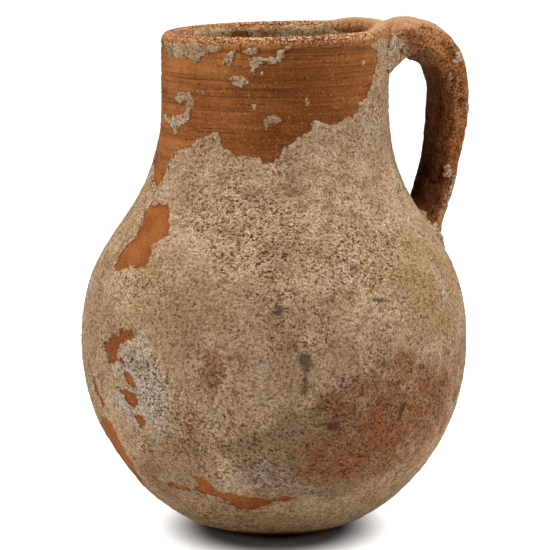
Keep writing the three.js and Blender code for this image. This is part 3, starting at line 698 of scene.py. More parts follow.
class Finish(Nodes):
    """A material of one colour that gets layers of others over it."""

    def __init__(self, name):
        self.material = bpy.data.materials.new(name)
        self.material.use_nodes = True
        super().__init__(self.material.node_tree)
        self.tree.nodes.clear()
        self.node("place", "ShaderNodeTexCoord")

    def mapping(self, name, **inputs):
        return self.node(name, "ShaderNodeMapping", None, {"Vector": PLACE, **inputs}, "Vector")

    def read(self, kind):
        """A value that the mesh holds for each of its corners."""
        return self.node(kind, "ShaderNodeAttribute", {"attribute_name": kind}, None, "Fac")

    def mix(self, name, share, before, after, blend="MIX"):
        """Mixes outputs, hex colours or properties. The result is the colour so far."""
        colours = [value if isinstance(value, str) and ">" in value
                   else linear(value) if isinstance(value, str) else (*value, 1.0)
                   for value in (before, after)]
        self.colour = self.node(
            name, "ShaderNodeMix", {"data_type": "RGBA", "blend_type": blend},
            {0: share, 6: colours[0], 7: colours[1]}, 2)

    def ground(self, source, low, high, colour, other):
        """The colours under all layers: one where source is at low, the other at high."""
        self.mix("ground", self.ramp("ground_share", source, low, high), colour, other)

    def layer(self, name, colour, source, low, high, top=1.0, within=None, blend="MIX",
              smooth=False):
        """Lays a colour over the others, from none where source is at low to the share top where
        it is at high, and only within another share. Returns its share."""
        share = self.ramp(name + "_share", source, low, high, top, 0.0, smooth)
        if within:
            share = self.reckon(name + "_here", "MULTIPLY", share, within)
        self.mix(name, share, self.colour, colour, blend)
        return share

    def shaded(self, roughness, specular, ior=1.5, distance=None, relief=None, parts=()):
        """The finished material. Its relief is the sum of an output and of parts, which are
        (output, weight), and distance is the relief's height in metres."""
        inputs = {"Base Color": self.colour, "Roughness": roughness, "IOR": ior,
                  "Specular IOR Level": specular}
        if relief:
            for number, (source, weight) in enumerate(parts):
                relief = self.reckon(f"relief_{number}", "MULTIPLY_ADD", source, weight, relief)
            inputs["Normal"] = self.node("relief", "ShaderNodeBump", None, {
                "Strength": 1.0, "Distance": distance, "Height": relief,
            })
        self.node("shader", "ShaderNodeBsdfPrincipled", None, inputs)
        self.node("out", "ShaderNodeOutputMaterial", None, {"Surface": "shader>0"})
        return self.material


def fired_clay(clay):
    """Low-fired red-brown earthenware, thrown on a wheel and left unglazed."""
    # To the eye: matt and warm, with fine level furrows from the potter's fingers, pale and dark
    # grit, thin films of lime in the hollows and a paler, worn lip.
    finish = Finish("wheel_thrown_earthenware")
    finish.split("xyz", PLACE)
    # Furrows run level round the pot: 0.7 mm apart in height, and drawn out to 37 mm round it
    level = finish.mapping("level", Scale=(0.018, 0.018, 1))
    furrows = finish.noise("furrows", 1500, 3, 0.66, level)
    # Broader bands, 4 mm apart, where the hand rested
    bands = finish.noise("bands", 260, 2, 0.5, level)
    # Firing clouds 14 mm across
    clouds = finish.noise("clouds", 70, 5, 0.6)
    # Grain of the clay, 0.8 mm, drawn twice as coarse as it is so that it shows, and 2.4 mm mottle
    grain = finish.noise("grain", 1250, 3, 0.7)
    mottle = finish.noise("mottle", 420, 4, 0.7)
    finish.ground(clouds, 0.36, 0.62, clay.dark_colour, clay.light_colour)
    # The furrows are on the neck; the body below 130 mm was scraped smooth
    thrown = finish.ramp("thrown", "xyz>2", 0.126, 0.14, bottom=0.2)
    finish.layer("banded", "#74421F", bands, 0.5, 0.64, 0.5, thrown)
    # The front of the neck fired darker
    front = finish.vector("from_front", "DISTANCE", "Value", PLACE, (0.0005, -0.0425, 0.161))
    ragged = finish.reckon("front_ragged", "MULTIPLY_ADD", clouds, 0.03, front)
    finish.layer("fronted", "#743B12", ragged, 0.06, 0.024, 0.85, smooth=True)
    furrowed = finish.layer("furrowed", "#57300F", furrows, 0.56, 0.7, 0.55, thrown)
    finish.layer("ridged", "#B47845", furrows, 0.46, 0.34, 0.35, thrown)
    finish.layer("grained", "#633614", grain, 0.48, 0.34, 0.6)
    finish.layer("sparkled", "#C4854E", grain, 0.56, 0.7, 0.5)
    finish.layer("filmed", "#B98857", mottle, 0.57, 0.75, 0.35)
    # The scraped body below is a shade darker than the neck
    finish.layer("dulled", "#DCCEC4", thrown, 1.0, 0.0, blend="MULTIPLY")
    # Grit 0.3 to 0.5 mm across, in cells 1.3 mm wide; some of the cells hold a grain.
    # The cells are turned off the Z axis, along which they would show as rows.
    askew = finish.mapping("askew", Rotation=(0.6, 0.9, 0.3))
    finish.node("grit", "ShaderNodeTexVoronoi", None, {"Vector": askew, "Scale": 760.0})
    finish.node("grit_kind", "ShaderNodeSeparateColor", None, {"Color": "grit>Color"})
    size = finish.ramp("grit_size", "grit>Distance", 0.26, 0.14)
    finish.layer("pale_grit", clay.grit_colour, "grit_kind>0", 0.88, 0.92, 0.42, size)
    dark_grit = finish.layer("dark_grit", "#3D2211", "grit_kind>1", 0.8, 0.84, 1.0, size)
    # The lip is rubbed pale in spots from 185.5 mm up and chipped dark in others
    lip = finish.ramp("lip", "xyz>2", 0.1852, 0.1885)
    finish.layer("lipped", "#EFC59C", grain, 0.5, 0.6, 0.9, lip)
    chips = finish.layer("chipped", "#4E2A12", grain, 0.45, 0.39, 0.7, lip)
    # A dark line of painted shadow lies in the groove under it
    groove = finish.reckon("groove", "COMPARE", "xyz>2", 0.1839, 0.0007)
    finish.layer("grooved", "#5A3013", groove, 0.0, 1.0, 0.45)
    roughness = finish.ramp("roughness", mottle, 0.3, 0.7, 0.95, 0.8)
    return finish.shaded(roughness, 0.12, distance=0.0007, relief=grain,
                         parts=((furrowed, -0.9), (dark_grit, -0.8), (chips, -0.9)))


def pulled_clay(name, dark, light):
    """Clay of the strap, pulled by hand, or smeared over its joins with a wet finger."""
    # To the eye: the same clay with no level furrows, but rough: torn pits, drag marks along the
    # strap, a thin grey-tan film of lime on the high spots and brown dirt in the hollows.
    finish = Finish(name)
    # Clouds 9 mm, drag marks 1.5 mm wide and 6 mm long, lumps 2 mm, grain 0.8 mm
    clouds = finish.noise("clouds", 110, 5, 0.6)
    drag = finish.noise("drag", 650, 4, 0.65, finish.mapping("dragged", Scale=(0.5, 1, 0.35)))
    lump = finish.noise("lump", 480, 4, 0.7)
    grain = finish.noise("grain", 1250, 3, 0.7)
    finish.ground(clouds, 0.38, 0.6, dark, light)
    finish.layer("marked", "#C08A5C", drag, 0.5, 0.66, 0.6)
    finish.layer("hollowed", "#5E3416", lump, 0.5, 0.38, 0.9)
    film = finish.reckon("film_spots", "MULTIPLY_ADD", clouds, 0.8, lump)
    finish.layer("filmed", "#B0926F", film, 0.98, 1.12, 0.6)
    finish.layer("grained", "#4E2A10", grain, 0.49, 0.37, 0.85)
    finish.layer("sparkled", "#CF9C6C", grain, 0.54, 0.64, 0.8)
    # Faces that look up are painted paler: partly rubbed dust, partly painted light from above
    finish.node("facing", "ShaderNodeNewGeometry")
    finish.split("facing_xyz", "facing>Normal")
    dust = finish.reckon("dust_edge", "MULTIPLY_ADD", drag, 0.9, "facing_xyz>2")
    finish.layer("dusted", "#DDB28A", dust, 0.95, 1.5, 0.7)
    # Grime and painted shade darken the colour under them, so they multiply it: the strap's face
    # towards the pot and, low down, its side are painted dark where shade falls, with some real
    # grime
    finish.mix("grimed", finish.read("grime"), finish.colour, "#79522F", "MULTIPLY")
    return finish.shaded(0.92, 0.08, distance=0.001, relief=grain, parts=((lump, 2.0),))


def lime_crust(crust):
    """Lime and soil that grew on the buried pot: calcite bound with silt."""
    # To the eye: pale tan, dead matt and granular, sown with dark pits 1 mm wide, with grey-white
    # bloom, yellow-brown patches and a red-brown blush where the clay shows through.
    finish = Finish("calcite_burial_crust")
    level = finish.mapping("level", Scale=(0.8, 0.8, 1))
    # Swells 15 mm, clouds 4 mm, crumbs 1.2 mm, grain 0.65 mm
    swells = finish.noise("swells", 65, 4, 0.6)
    clouds = finish.noise("clouds", 270, 4, 0.7, level)
    crumbs = finish.noise("crumbs", 860, 2, 0.6, level)
    grain = finish.noise("grain", 1550, 2, 0.7)
    finish.ground(swells, 0.38, 0.62, crust.tan_colour, crust.pale_colour)
    finish.layer("clouded", "#8F6A44", clouds, 0.48, 0.34, 0.65)
    finish.layer("lightened", "#CBAB85", clouds, 0.52, 0.68, 0.5)
    # Coarse and broken where the crust is pitted, and fine and calm elsewhere
    pitted = finish.read("pitted")
    coarse = finish.ramp("coarse", pitted, 0.1, 0.9, 1.0, 0.62)
    # Each tint breaks up in spots: the ochre and the blush in clouds, the bloom in single crumbs
    for kind, colour, spots, spread, amount in (
        ("silt", "#7C6043", clouds, 2.4, 0.66),
        ("ochre", crust.ochre_colour, clouds, 1.6, 0.7),
        ("blush", crust.blush_colour, clouds, 2.6, 0.88),
        ("bloom", crust.bloom_colour, crumbs, 3.6, 0.8),
    ):
        spots = finish.reckon(kind + "_spots", "MULTIPLY_ADD", spots, spread, 1 - 0.5 * spread)
        there = finish.reckon(kind + "_there", "MULTIPLY", finish.read(kind), spots)
        finish.layer(kind + "_laid", colour, there, 0.1, 1.0, amount)
    # Crumbs and grain of the silt, dark in the hollows and light on the tops. The light ones
    # multiply the colour by more than 1, so that they keep the hue of the ground.
    finish.layer("crumbled", "#8F7058", crumbs, 0.49, 0.33, coarse, blend="MULTIPLY")
    finish.layer("topped", (1.3, 1.35, 1.44), crumbs, 0.52, 0.7, 0.9, blend="MULTIPLY")
    finish.layer("grained", "#7A5A3E", grain, 0.48, 0.3, coarse, blend="MULTIPLY")
    finish.layer("speckled", (1.95, 2.0, 2.08), grain, 0.54, 0.7, 1.0, coarse, "MULTIPLY")
    # Pits 0.6 to 1.2 mm wide, a little wider than high, more of them where the crust is pitted
    flattened = finish.mapping("flattened", Rotation=(0.5, 0.7, 0.2), Scale=(0.9, 0.85, 1.1))
    finish.node("cells", "ShaderNodeTexVoronoi", None, {"Vector": flattened, "Scale": 760.0})
    finish.node("pit_kind", "ShaderNodeSeparateColor", None, {"Color": "cells>Color"})
    chance = finish.ramp("pit_chance", pitted, 0.0, 1.0, 0.3, 0.93)
    is_pit = finish.reckon("is_pit", "GREATER_THAN", "pit_kind>0", chance)
    width = finish.ramp("pit_width", "pit_kind>1", 0.0, 1.0, 0.42, 0.2)
    pits = finish.layer("pits", crust.pit_colour, "cells>Distance", width, 0.1, 1.0, is_pit)
    spots = finish.reckon("stain_spots", "MULTIPLY_ADD", crumbs, 2.4, -1.2)
    stain = finish.reckon("stain_there", "ADD", finish.read("stain"), spots)
    finish.layer("stained", "#43362A", stain, 0.3, 0.9, 0.85)
    # Within 0.8 mm of its broken edge the crust is worn through to the clay in spots
    wear = finish.reckon("wear", "MULTIPLY_ADD", crumbs, 3.2, finish.read("cover"))
    finish.layer("worn", "#8C5328", wear, 1.9, 1.75)
    return finish.shaded(0.95, 0.2, distance=0.0015, relief=grain,
                         parts=((crumbs, 1.3), (clouds, 1.2), (pits, -0.9)))


def soil_deposit():
    """Silt that settled in the mouth and dried on."""
    # To the eye: brown, rough and dull, with rust spots, dark holes and specks of lime.
    finish = Finish("dried_silt_deposit")
    # Clouds 7 mm, rust spots 8 mm, grain 0.9 mm
    finish.ground(finish.noise("clouds", 150, 5, 0.65), 0.38, 0.62, "#93704A", "#CDAA7F")
    finish.layer("rusted", "#B0683A", finish.noise("rust", 120), 0.54, 0.62, 0.85)
    grain = finish.noise("grain", 1100, 3, 0.75)
    finish.layer("darkened", "#4A331C", grain, 0.5, 0.36, 0.9)
    finish.layer("paled", "#E2C79E", grain, 0.56, 0.68, 0.8)
    return finish.shaded(0.95, 0.2, distance=0.0011, relief=grain)


def grains(name, low, high):
    """Crushed limestone and quartz that stands a little out of the surface."""
    # To the eye: pale points that catch the light; neighbours within 2.6 mm are alike.
    finish = Finish(name)
    finish.ground(finish.noise("which", 380, 1), 0.38, 0.62, low, high)
    return finish.shaded(0.8, 0.4, 1.52)


MATERIALS = {}


def material_for(key, make, *settings):
    """The material under a key, made on first use."""
    if key not in MATERIALS:
        MATERIALS[key] = make(*settings)
    return MATERIALS[key]


class Growth(Nodes):
    """A geometry tree with a geometry input and the inputs given as (name, kind, value)."""

    def __init__(self, name, inputs):
        super().__init__(bpy.data.node_groups.new(name, "GeometryNodeTree"))
        face = self.tree.interface
        face.new_socket("Geometry", in_out="INPUT", socket_type="NodeSocketGeometry")
        self.sockets = {}
        for label, kind, value in inputs:
            socket = face.new_socket(label, in_out="INPUT", socket_type="NodeSocket" + kind)
            if value is not None:
                socket.default_value = value
            self.sockets[label] = socket.identifier
        face.new_socket("Geometry", in_out="OUTPUT", socket_type="NodeSocketGeometry")
        self.node("in", "NodeGroupInput")
        self.node("place", "GeometryNodeInputPosition")
        self.node("normal", "GeometryNodeInputNormal")
        self.split("xyz", "place>0")

    def moved(self, name, geometry, key, value):
        """Moves points to a position or by an offset."""
        return self.node(name, "GeometryNodeSetPosition", None, {"Geometry": geometry, key: value})

    def end(self, geometry):
        """Ends the tree in plain mesh with its material on it."""
        self.node("real", "GeometryNodeRealizeInstances", None, {"Geometry": geometry})
        self.node("finish", "GeometryNodeSetMaterial", None,
                  {"Geometry": "real>0", "Material": "in>Material"})
        self.node("out", "NodeGroupOutput", None, {"Geometry": "finish>0"})
        return self

    def grow(self, thing, values, material):
        """Runs the tree on an object and keeps the result as its plain mesh."""
        modifier = thing.modifiers.new("grow", "NODES")
        modifier.node_group = self.tree
        for label, value in values.items():
            modifier[self.sockets[label]] = value
        depsgraph = bpy.context.evaluated_depsgraph_get()
        mesh = bpy.data.meshes.new_from_object(thing.evaluated_get(depsgraph), depsgraph=depsgraph)
        thing.modifiers.remove(modifier)
        mesh.materials.clear()
        mesh.materials.append(material)
        mesh.name = thing.name
        thing.data = mesh
        if not len(mesh.polygons):
            raise RuntimeError(thing.name + " came out of its geometry tree with no faces")


def turned_wall():
    """Turns a profile round the Z axis, presses furrows and grain into it, and leans the rim."""
    growth = Growth("turned_wall", [
        ("Columns", "Int", 256), ("Rows", "Int", 200), ("Furrow Depth", "Float", 0.0002),
        ("Furrow Spacing", "Float", 0.0016), ("Grain Depth", "Float", 0.0001),
        ("Grain Size", "Float", 0.0018), ("Rim Tilt", "Float", RIM_TILT),
        ("Material", "Material", None),
    ])
    growth.node("profile", "GeometryNodeMeshToCurve", None, {"Mesh": "in>Geometry"})
    growth.node("grid", "GeometryNodeMeshGrid", None, {
        "Size X": 1.0, "Size Y": 1.0, "Vertices X": "in>Columns", "Vertices Y": "in>Rows",
    })
    angle = growth.reckon("angle", "MULTIPLY", "xyz>0", 2 * math.pi)
    share = growth.reckon("share", "ADD", "xyz>1", 0.5)
    on_profile = growth.node("on_profile", "GeometryNodeSampleCurve", {"mode": "FACTOR"},
                             {"Curves": "profile>0", "Factor": share}, "Position")
    growth.split("reach", on_profile)
    for axis, operation in (("x", "COSINE"), ("y", "SINE")):
        growth.reckon(axis + "_part", operation, angle)
        growth.reckon(axis, "MULTIPLY", "reach>0", axis + "_part>0")
    place = growth.node("round_place", "ShaderNodeCombineXYZ", None,
                        {0: "x>0", 1: "y>0", 2: "reach>2"})
    growth.moved("turned", "grid>Mesh", "Position", place)
    growth.node("closed", "GeometryNodeMergeByDistance", None,
                {"Geometry": "turned>0", "Distance": 0.00002})
    # Furrows: noise that changes fast with height and slowly round the pot
    flat = growth.vector("flat_place", "MULTIPLY", 0, "place>0", (0.025, 0.025, 1))
    rise = 0.0
    for kind, vector in (("Furrow", flat), ("Grain", "place>0")):
        size = "in>Furrow Spacing" if kind == "Furrow" else "in>Grain Size"
        scale = growth.reckon(kind + "_scale", "DIVIDE", 1.0, size)
        noise = growth.noise(kind + "_noise", scale, vector=vector)
        middle = growth.reckon(kind + "_middle", "SUBTRACT", noise, 0.5)
        rise = growth.reckon(kind + "_rise", "MULTIPLY_ADD", middle, f"in>{kind} Depth", rise)
    # The flat base stays on the floor
    off_floor = growth.ramp("off_floor", "xyz>2", 0.0004, 0.003)
    rise = growth.reckon("rise_here", "MULTIPLY", rise, off_floor)
    growth.node("offset", "ShaderNodeVectorMath", {"operation": "SCALE"},
                {0: "normal>0", "Scale": rise})
    growth.moved("pressed", "closed>0", "Offset", "offset>0")
    # Lean of the rim towards its high side, from 140 mm up
    high_side = (math.cos(RIM_HIGH_SIDE), math.sin(RIM_HIGH_SIDE), 0)
    towards_high = growth.vector("towards_high", "DOT_PRODUCT", "Value", "place>0", high_side)
    lean_share = growth.ramp("lean_share", "xyz>2", TILT_STARTS / 1000, RIM_HEIGHT / 1000,
                             smooth=True)
    slope = growth.reckon("slope", "TANGENT", "in>Rim Tilt")
    slope = growth.reckon("slope_here", "MULTIPLY", slope, lean_share)
    growth.reckon("lean_rise", "MULTIPLY", slope, towards_high)
    growth.node("lean_offset", "ShaderNodeCombineXYZ", None, {2: "lean_rise>0"})
    growth.moved("leant", "pressed>0", "Offset", "lean_offset>0")
    growth.node("smooth", "GeometryNodeSetShadeSmooth", None, {"Geometry": "leant>0"})
    return growth.end("smooth>0")


def scattered_grit():
    """Scatters small grains over the faces that look away from the Z axis, from a lowest height up.
    """
    growth = Growth("scattered_grit", [
        ("Per Square Metre", "Float", 60000.0), ("Smallest", "Float", 0.00015),
        ("Largest", "Float", 0.00035), ("Lowest", "Float", 0.0), ("Seed", "Int", 0),
        ("Material", "Material", None),
    ])
    flat = growth.vector("flat_place", "MULTIPLY", 0, "place>0", (1, 1, 0))
    out = growth.vector("looks_out", "DOT_PRODUCT", "Value", flat, "normal>0")
    compare = {"data_type": "FLOAT"}
    growth.node("is_out", "FunctionNodeCompare", compare, {0: out, 1: 0.003})
    growth.node("is_high", "FunctionNodeCompare", compare, {0: "xyz>2", 1: "in>Lowest"})
    growth.node("is_seen", "FunctionNodeBooleanMath", {"operation": "AND"},
                {0: "is_out>0", 1: "is_high>0"})
    growth.node("spread", "GeometryNodeDistributePointsOnFaces", None, {
        "Mesh": "in>Geometry", "Selection": "is_seen>0", "Density": "in>Per Square Metre",
        "Seed": "in>Seed",
    })
    growth.node("grain", "GeometryNodeMeshIcoSphere", None, {"Radius": 1.0, "Subdivisions": 1})
    for name, kind, inputs in (
        ("shape", "FLOAT_VECTOR", {0: (0.7, 0.7, 0.7), 1: (1.3, 1.3, 1.3)}),
        ("size", "FLOAT", {2: "in>Smallest", 3: "in>Largest"}),
        ("turn", "FLOAT_VECTOR", {0: (0, 0, 0), 1: (6.28, 6.28, 6.28)}),
    ):
        growth.node(name, "FunctionNodeRandomValue", {"data_type": kind},
                    {**inputs, "Seed": "in>Seed"})
    growth.node("full_size", "ShaderNodeVectorMath", {"operation": "SCALE"},
                {0: "shape>0", "Scale": "size>1"})
    growth.node("placed", "GeometryNodeInstanceOnPoints", None, {
        "Points": "spread>Points", "Instance": "grain>Mesh", "Rotation": "turn>0",
        "Scale": "full_size>0",
    })
    return growth.end("placed>0")


def body_profile():
    """The body's wall from the middle of the base up the outside, into the mouth and down to the
    middle of the floor."""
    mouth = NECK_RADIUS - NECK_WALL + SPIGOT_WALL + FIT_GAP
    top = SEAM[1] - SPIGOT_DEPTH
    turn = np.linspace(0, -math.pi / 2, 90)
    hollow = np.stack([(BELLY_RADIUS - BODY_WALL) * np.cos(turn),
                       BELLY_HEIGHT + (BELLY_HEIGHT - FLOOR_THICKNESS) * np.sin(turn)], 1)
    steps = np.gradient(SHOULDER, axis=0)
    steps /= np.linalg.norm(steps, axis=1, keepdims=True)
    inner = SHOULDER - BODY_WALL * np.stack([steps[:, 1], -steps[:, 0]], 1)
    inner = inner[(inner[:, 1] > BELLY_HEIGHT + 1) & (inner[:, 1] < top - BODY_WALL / 2)][::-6]
    base = np.stack([np.linspace(0, GLOBE[0, 0], 26), np.zeros(26)], 1)
    return np.concatenate([
        base, GLOBE[1::5], SHOULDER[1::5], THROAT[1:SEAM_STEP + 1:4], SEAM[None],
        [[mouth, SEAM[1]], [mouth, top]], inner, hollow,
    ])


def neck_profile():
    """The neck's wall: up the outside from the seam, over the lip, down inside and round the
    spigot that stands in the body's mouth."""
    above_seam = THROAT[SEAM_STEP:]
    spigot_foot = SEAM[1] + FIT_GAP - SPIGOT_DEPTH
    inside = NECK_RADIUS - NECK_WALL
    spigot = inside + SPIGOT_WALL
    seat = SEAM[1] + 0.05
    lifted = above_seam[above_seam[:, 1] > seat]
    return np.concatenate([
        [[spigot, seat]], [[SEAM[0] - 0.2, seat]], lifted, neck_and_lip(spigot_foot)[1:],
        [[spigot, spigot_foot]],
    ])


class StrapLine:
    """The centre line of the strap, read by its share from the rim to the shoulder."""

    def __init__(self):
        foot_out = float(np.interp(HANDLE_FOOT_HEIGHT, OUTSIDE[:, 1], OUTSIDE[:, 0]))
        corners = [
            (NECK_RADIUS + out * HANDLE_REACH, RIM_HEIGHT - down)
            for out, down in ((-0.5, 19), (0.03, 8), (0.37, 3.5), (0.68, 6), (0.88, 11),
                              (0.98, 18.5), (1.01, 28.5), (0.95, 44), (0.81, 60))
        ]
        corners += [(foot_out + out, HANDLE_FOOT_HEIGHT + up) for out, up in ((0.8, 6), (-9, -19))]
        corners = np.array(corners)
        corners = np.concatenate([[2 * corners[0] - corners[1]], corners,
                                  [2 * corners[-1] - corners[-2]]])
        line = []
        for a, b, c, d in zip(corners, corners[1:], corners[2:], corners[3:]):
            before, here, after = (math.sqrt(math.dist(p, q)) for p, q in ((a, b), (b, c), (c, d)))
            leaving = ((b - a) / before - (c - a) / (before + here) + (c - b) / here) * here
            arriving = ((c - b) / here - (d - b) / (here + after) + (d - c) / after) * here
            share = np.linspace(0, 1, 120, endpoint=False)[:, None]
            line.append(b + leaving * share
                        + (-3 * b + 3 * c - 2 * leaving - arriving) * share**2
                        + (2 * b - 2 * c + leaving + arriving) * share**3)
        line = np.concatenate(line + [corners[-2:-1]])
        self.line = Outline(line)
        self.length = self.line.run[-1]

    def skin(self, share, turn, lift, flared, bury):
        """Points lift mm off the strap. Where flared, the strap spreads into the pot's wall in
        round fillets. Points deeper than bury in the pot's wall stay at that depth."""
        run = share * self.length
        centre = self.line.at(run)
        out = -self.line.facing(run)
        left = 1 - share
        half_width = (STRAP_WIDTH_FOOT + (STRAP_WIDTH_TOP - STRAP_WIDTH_FOOT) * left**2) / 2
        half_thickness = (STRAP_THICKNESS_FOOT
                          + (STRAP_THICKNESS_TOP - STRAP_THICKNESS_FOOT) * left**1.3) / 2
        cosine, sine = np.cos(turn), np.sin(turn)
        power = 2 / STRAP_SQUARENESS
        x = np.sign(cosine) * np.abs(cosine) ** power
        y = np.sign(sine) * np.abs(sine) ** power
        face_x = np.sign(x) * x**2 / half_width
        face_y = np.sign(y) * y**2 / half_thickness
        size = np.hypot(face_x, face_y)
        face_x, face_y = face_x / size, face_y / size
        points = self._place(centre, out, x * half_width, y * half_thickness)
        if flared:
            gap = off_pot(points)
            at_rim = share < 0.5
            side, outer, inner = (
                np.where(at_rim, rim, foot) for rim, foot in zip(RIM_FILLETS, FOOT_FILLETS)
            )
            under_rim = at_rim & (face_y < 0)
            fillet = (side * np.where(under_rim, face_x**6, face_x**2)
                      + np.where(face_y > 0, outer, inner) * face_y**2)
            inset = np.clip(fillet - np.maximum(gap, 0), 0, None)
            plain = lift
            lift = lift + fillet - np.sqrt(np.maximum(fillet**2 - inset**2, 0))
        points = self._place(centre, out, x * half_width + face_x * lift,
                             y * half_thickness + face_y * lift)
        radius = off_axis(points)
        wall = np.interp(points[..., 2], OUTSIDE[:, 1], OUTSIDE[:, 0])
        # Over the round of the lip the strap ends near the middle of its wall
        least = np.where(points[..., 2] > LIP_ROUND, np.maximum(wall - bury, LIP_MIDDLE),
                         wall - bury)
        if flared:
            # Outside, the foot runs out thinly down the shoulder
            over = radius - plain - wall
            run_out = (np.maximum(over, -SUNK * ease(-over, 0, RUN_OUT)) + plain + wall
                       + 2.2 * np.clip(1 - np.abs(over) / RUN_OUT, 0, 1) ** 2)
            outside = ease(face_y, 0.1, 0.7) * (share > 0.5)
            new_radius = radius * (1 - outside) + run_out * outside
            # Elsewhere the fillet's edge sinks into the clay past the wall
            sunk = ease(-gap, 0, 2.2) * (share > 0.5) * (1 - outside)
            new_radius = new_radius * (1 - sunk) + np.minimum(new_radius, wall - SUNK) * sunk
            points[..., :2] *= (new_radius / radius)[..., None]
            radius = new_radius
        points[..., :2] *= np.maximum(least / radius, 1)[..., None]
        return points

    @staticmethod
    def _place(centre, out, across, away):
        return np.stack([centre[..., 0] + out[..., 0] * away, across,
                         centre[..., 1] + out[..., 1] * away], -1)


STRAP = StrapLine()


def strap_grid(rows, columns, first, last):
    """Shares along the strap and angles round its section, for a grid that wraps."""
    turn, share = np.meshgrid(np.linspace(0, 2 * math.pi, columns, endpoint=False),
                              np.linspace(first, last, rows))
    return share, turn


def strap_relief(share, turn):
    """The hand-pulled surface of the strap in mm, and how much grime and painted shade lie on it.
    """
    points = STRAP.skin(share, turn, 0, False, 2.5)
    rise = 0.15 + rough(points, (0.3, 13, 31), (0.2, 5.5, 32), (0.2, 2.4, 33), (0.1, 1.2, 34))
    # The face towards the pot is fuller, most of all under the bend at the rim
    inward = -np.sin(turn)
    inner_face = ease(inward, 0.2, 0.9)
    rise += inner_face * (0.3 - 0.5 * bell(share, 0.155, 0.03))
    rise += 2.0 * ease(inward, 0, 0.6) * bell(share, 0.285, 0.075)
    rise -= inner_face * (0.7 * ease(share, 0.56, 0.68) + 0.8 * ease(share, 0.7, 0.84))
    # Painted shade, with some dirt, lies on that face and, low down, on the side too
    low_down = ease(share, 0.5, 0.75)
    grime = (0.46 + 0.54 * low_down) * ease(inward, 0.12 - 0.42 * low_down, 0.5 - 0.4 * low_down)
    grime -= 0.55 * bell(share, 0.37, 0.05) * ease(-inward, -0.95, -0.6)
    grime += rough(points, (0.2, 8, 35), (0.15, 3, 37))
    for at, degrees, width, depth in STRAP_VOIDS:
        along = (share - at) * STRAP.length
        across = wrapped(turn - math.radians(degrees)) * STRAP_RADIUS
        gap = np.hypot(along / width, across / (width * 0.75))
        gap = gap + 0.45 * lumps(points, 2.6, 36)
        rise -= depth * (1 - ease(gap, 0.5, 1.1))
        # The dents are painted darker too: dirt and painted shade
        grime = grime + 0.5 * (1 - ease(gap, 0.3, 1.2))
    return rise, np.clip(grime, 0, 1)


def tube(name, points, material, tints):
    """A closed object from rings of points, with a fan over each end."""
    rows, columns = points.shape[:2]
    triangles = grid_triangles(rows, columns, True)
    first, last = rows * columns, rows * columns + 1
    ring = np.arange(columns)
    after = (ring + 1) % columns
    top = (rows - 1) * columns
    caps = [
        np.stack([after, ring, np.full(columns, first)], 1),
        np.stack([top + ring, top + after, np.full(columns, last)], 1),
    ]
    places = np.concatenate([points.reshape(-1, 3), [points[0].mean(0), points[-1].mean(0)]])
    values = {kind: np.concatenate([grid.ravel(), [0, 0]]) for kind, grid in tints.items()}
    return new_object(name, places, np.concatenate([triangles, *caps]), material, tints=values)


def crust_tints(points, angle, run, cover):
    """How much of each tint every point of the crust has, and how far in mm it is from its edge."""
    scale = off_axis(points)
    wide, fine = lumps(points, 6, 21), lumps(points, 2.3, 22)
    tints = {
        "blush": 0.35 * ease(lumps(points, 24, 41), 0.3, 0.8),
        "bloom": 0.3 * ease(lumps(points, 13, 42), 0.3, 0.8),
        "ochre": 0.4 * ease(lumps(points, 30, 43), 0.2, 0.8),
        "stain": 0.45 * ease(lumps(points, 7, 44), 0.72, 0.9),
        "silt": 0.35 * ease(lumps(points, 19, 46), 0.1, 0.7),
        "pitted": 0.15 + 0.5 * ease(lumps(points, 10, 45), -0.1, 0.6),
    }
    for kind, strength, softness, outline in TINTS:
        depth = depth_in(outline, angle, run, run_at, scale)
        ragged = depth + softness * (0.45 * wide + 0.3 * fine)
        tints[kind] = np.maximum(tints[kind],
                                 strength * ease(ragged, -0.3 * softness, 0.7 * softness))
    tints["cover"] = cover
    return tints


def crust_rise(points, cover, thickness, edge, bevel, roughness=1.0):
    """How far in mm the crust stands off the clay: a low broken edge, then swells and grain."""
    relief = rough(points, (0.1, 26, 11), (0.09, 9, 12), (0.09, 3.1, 13), (0.12, 1.7, 14),
                   (0.08, 1.0, 15))
    relief -= 0.6 * np.clip(lumps(points, 1.9, 16) - 0.6, 0, None)
    full = np.clip(thickness + relief * roughness, 0.25, 0.92)
    return edge + (full - edge) * ease(cover, 0, bevel)


def pot_grid(first_angle, last_angle, low, high, spacing):
    """A grid of angles and run lengths with cells about spacing mm wide on the pot."""
    width = (last_angle - first_angle) * SKIN.at((low + high) / 2)[0]
    columns, rows = (max(6, round(size / spacing)) for size in (width, high - low))
    return np.meshgrid(np.linspace(first_angle, last_angle, columns + 1),
                       np.linspace(low, high, rows + 1))


def fleck(name, outline, thickness, spacing):
    """One island of crust on bare clay."""
    angles = np.radians([a for a, _ in outline])
    runs = run_at(np.array([h for _, h in outline], float))
    pad = 1.0
    turned_pad = pad / SKIN.at(runs.mean())[0]
    angle, run = pot_grid(angles.min() - turned_pad, angles.max() + turned_pad,
                          runs.min() - pad, runs.max() + pad, spacing)
    ground = pot_skin(angle, run, 0)
    depth = depth_in(outline, angle, run, run_at, off_axis(ground))
    cover = depth + 0.15 + rough(ground, (0.75, 1.6, 51), (0.35, 0.7, 52))
    cover = np.where(depth < -0.8, -1.0, cover)
    rise = crust_rise(ground, cover, thickness, 0.14, 0.8, 0.6)
    inner = pot_skin(angle, run, ISLAND_ROOT)
    return shell(name, pot_skin(angle, run, rise), inner, cover, False, crust_material(),
                 crust_tints(ground, angle, run, cover))


def colour_of(label, description, hex_text):
    return bpy.props.FloatVectorProperty(name=label, description=description, subtype="COLOR",
                                         size=3, min=0, max=1, default=linear(hex_text)[:3])


def length_of(label, description, least, most, default):
    return bpy.props.FloatProperty(name=label, description=description, unit="LENGTH", min=least,
                                   max=most, precision=5, default=default)


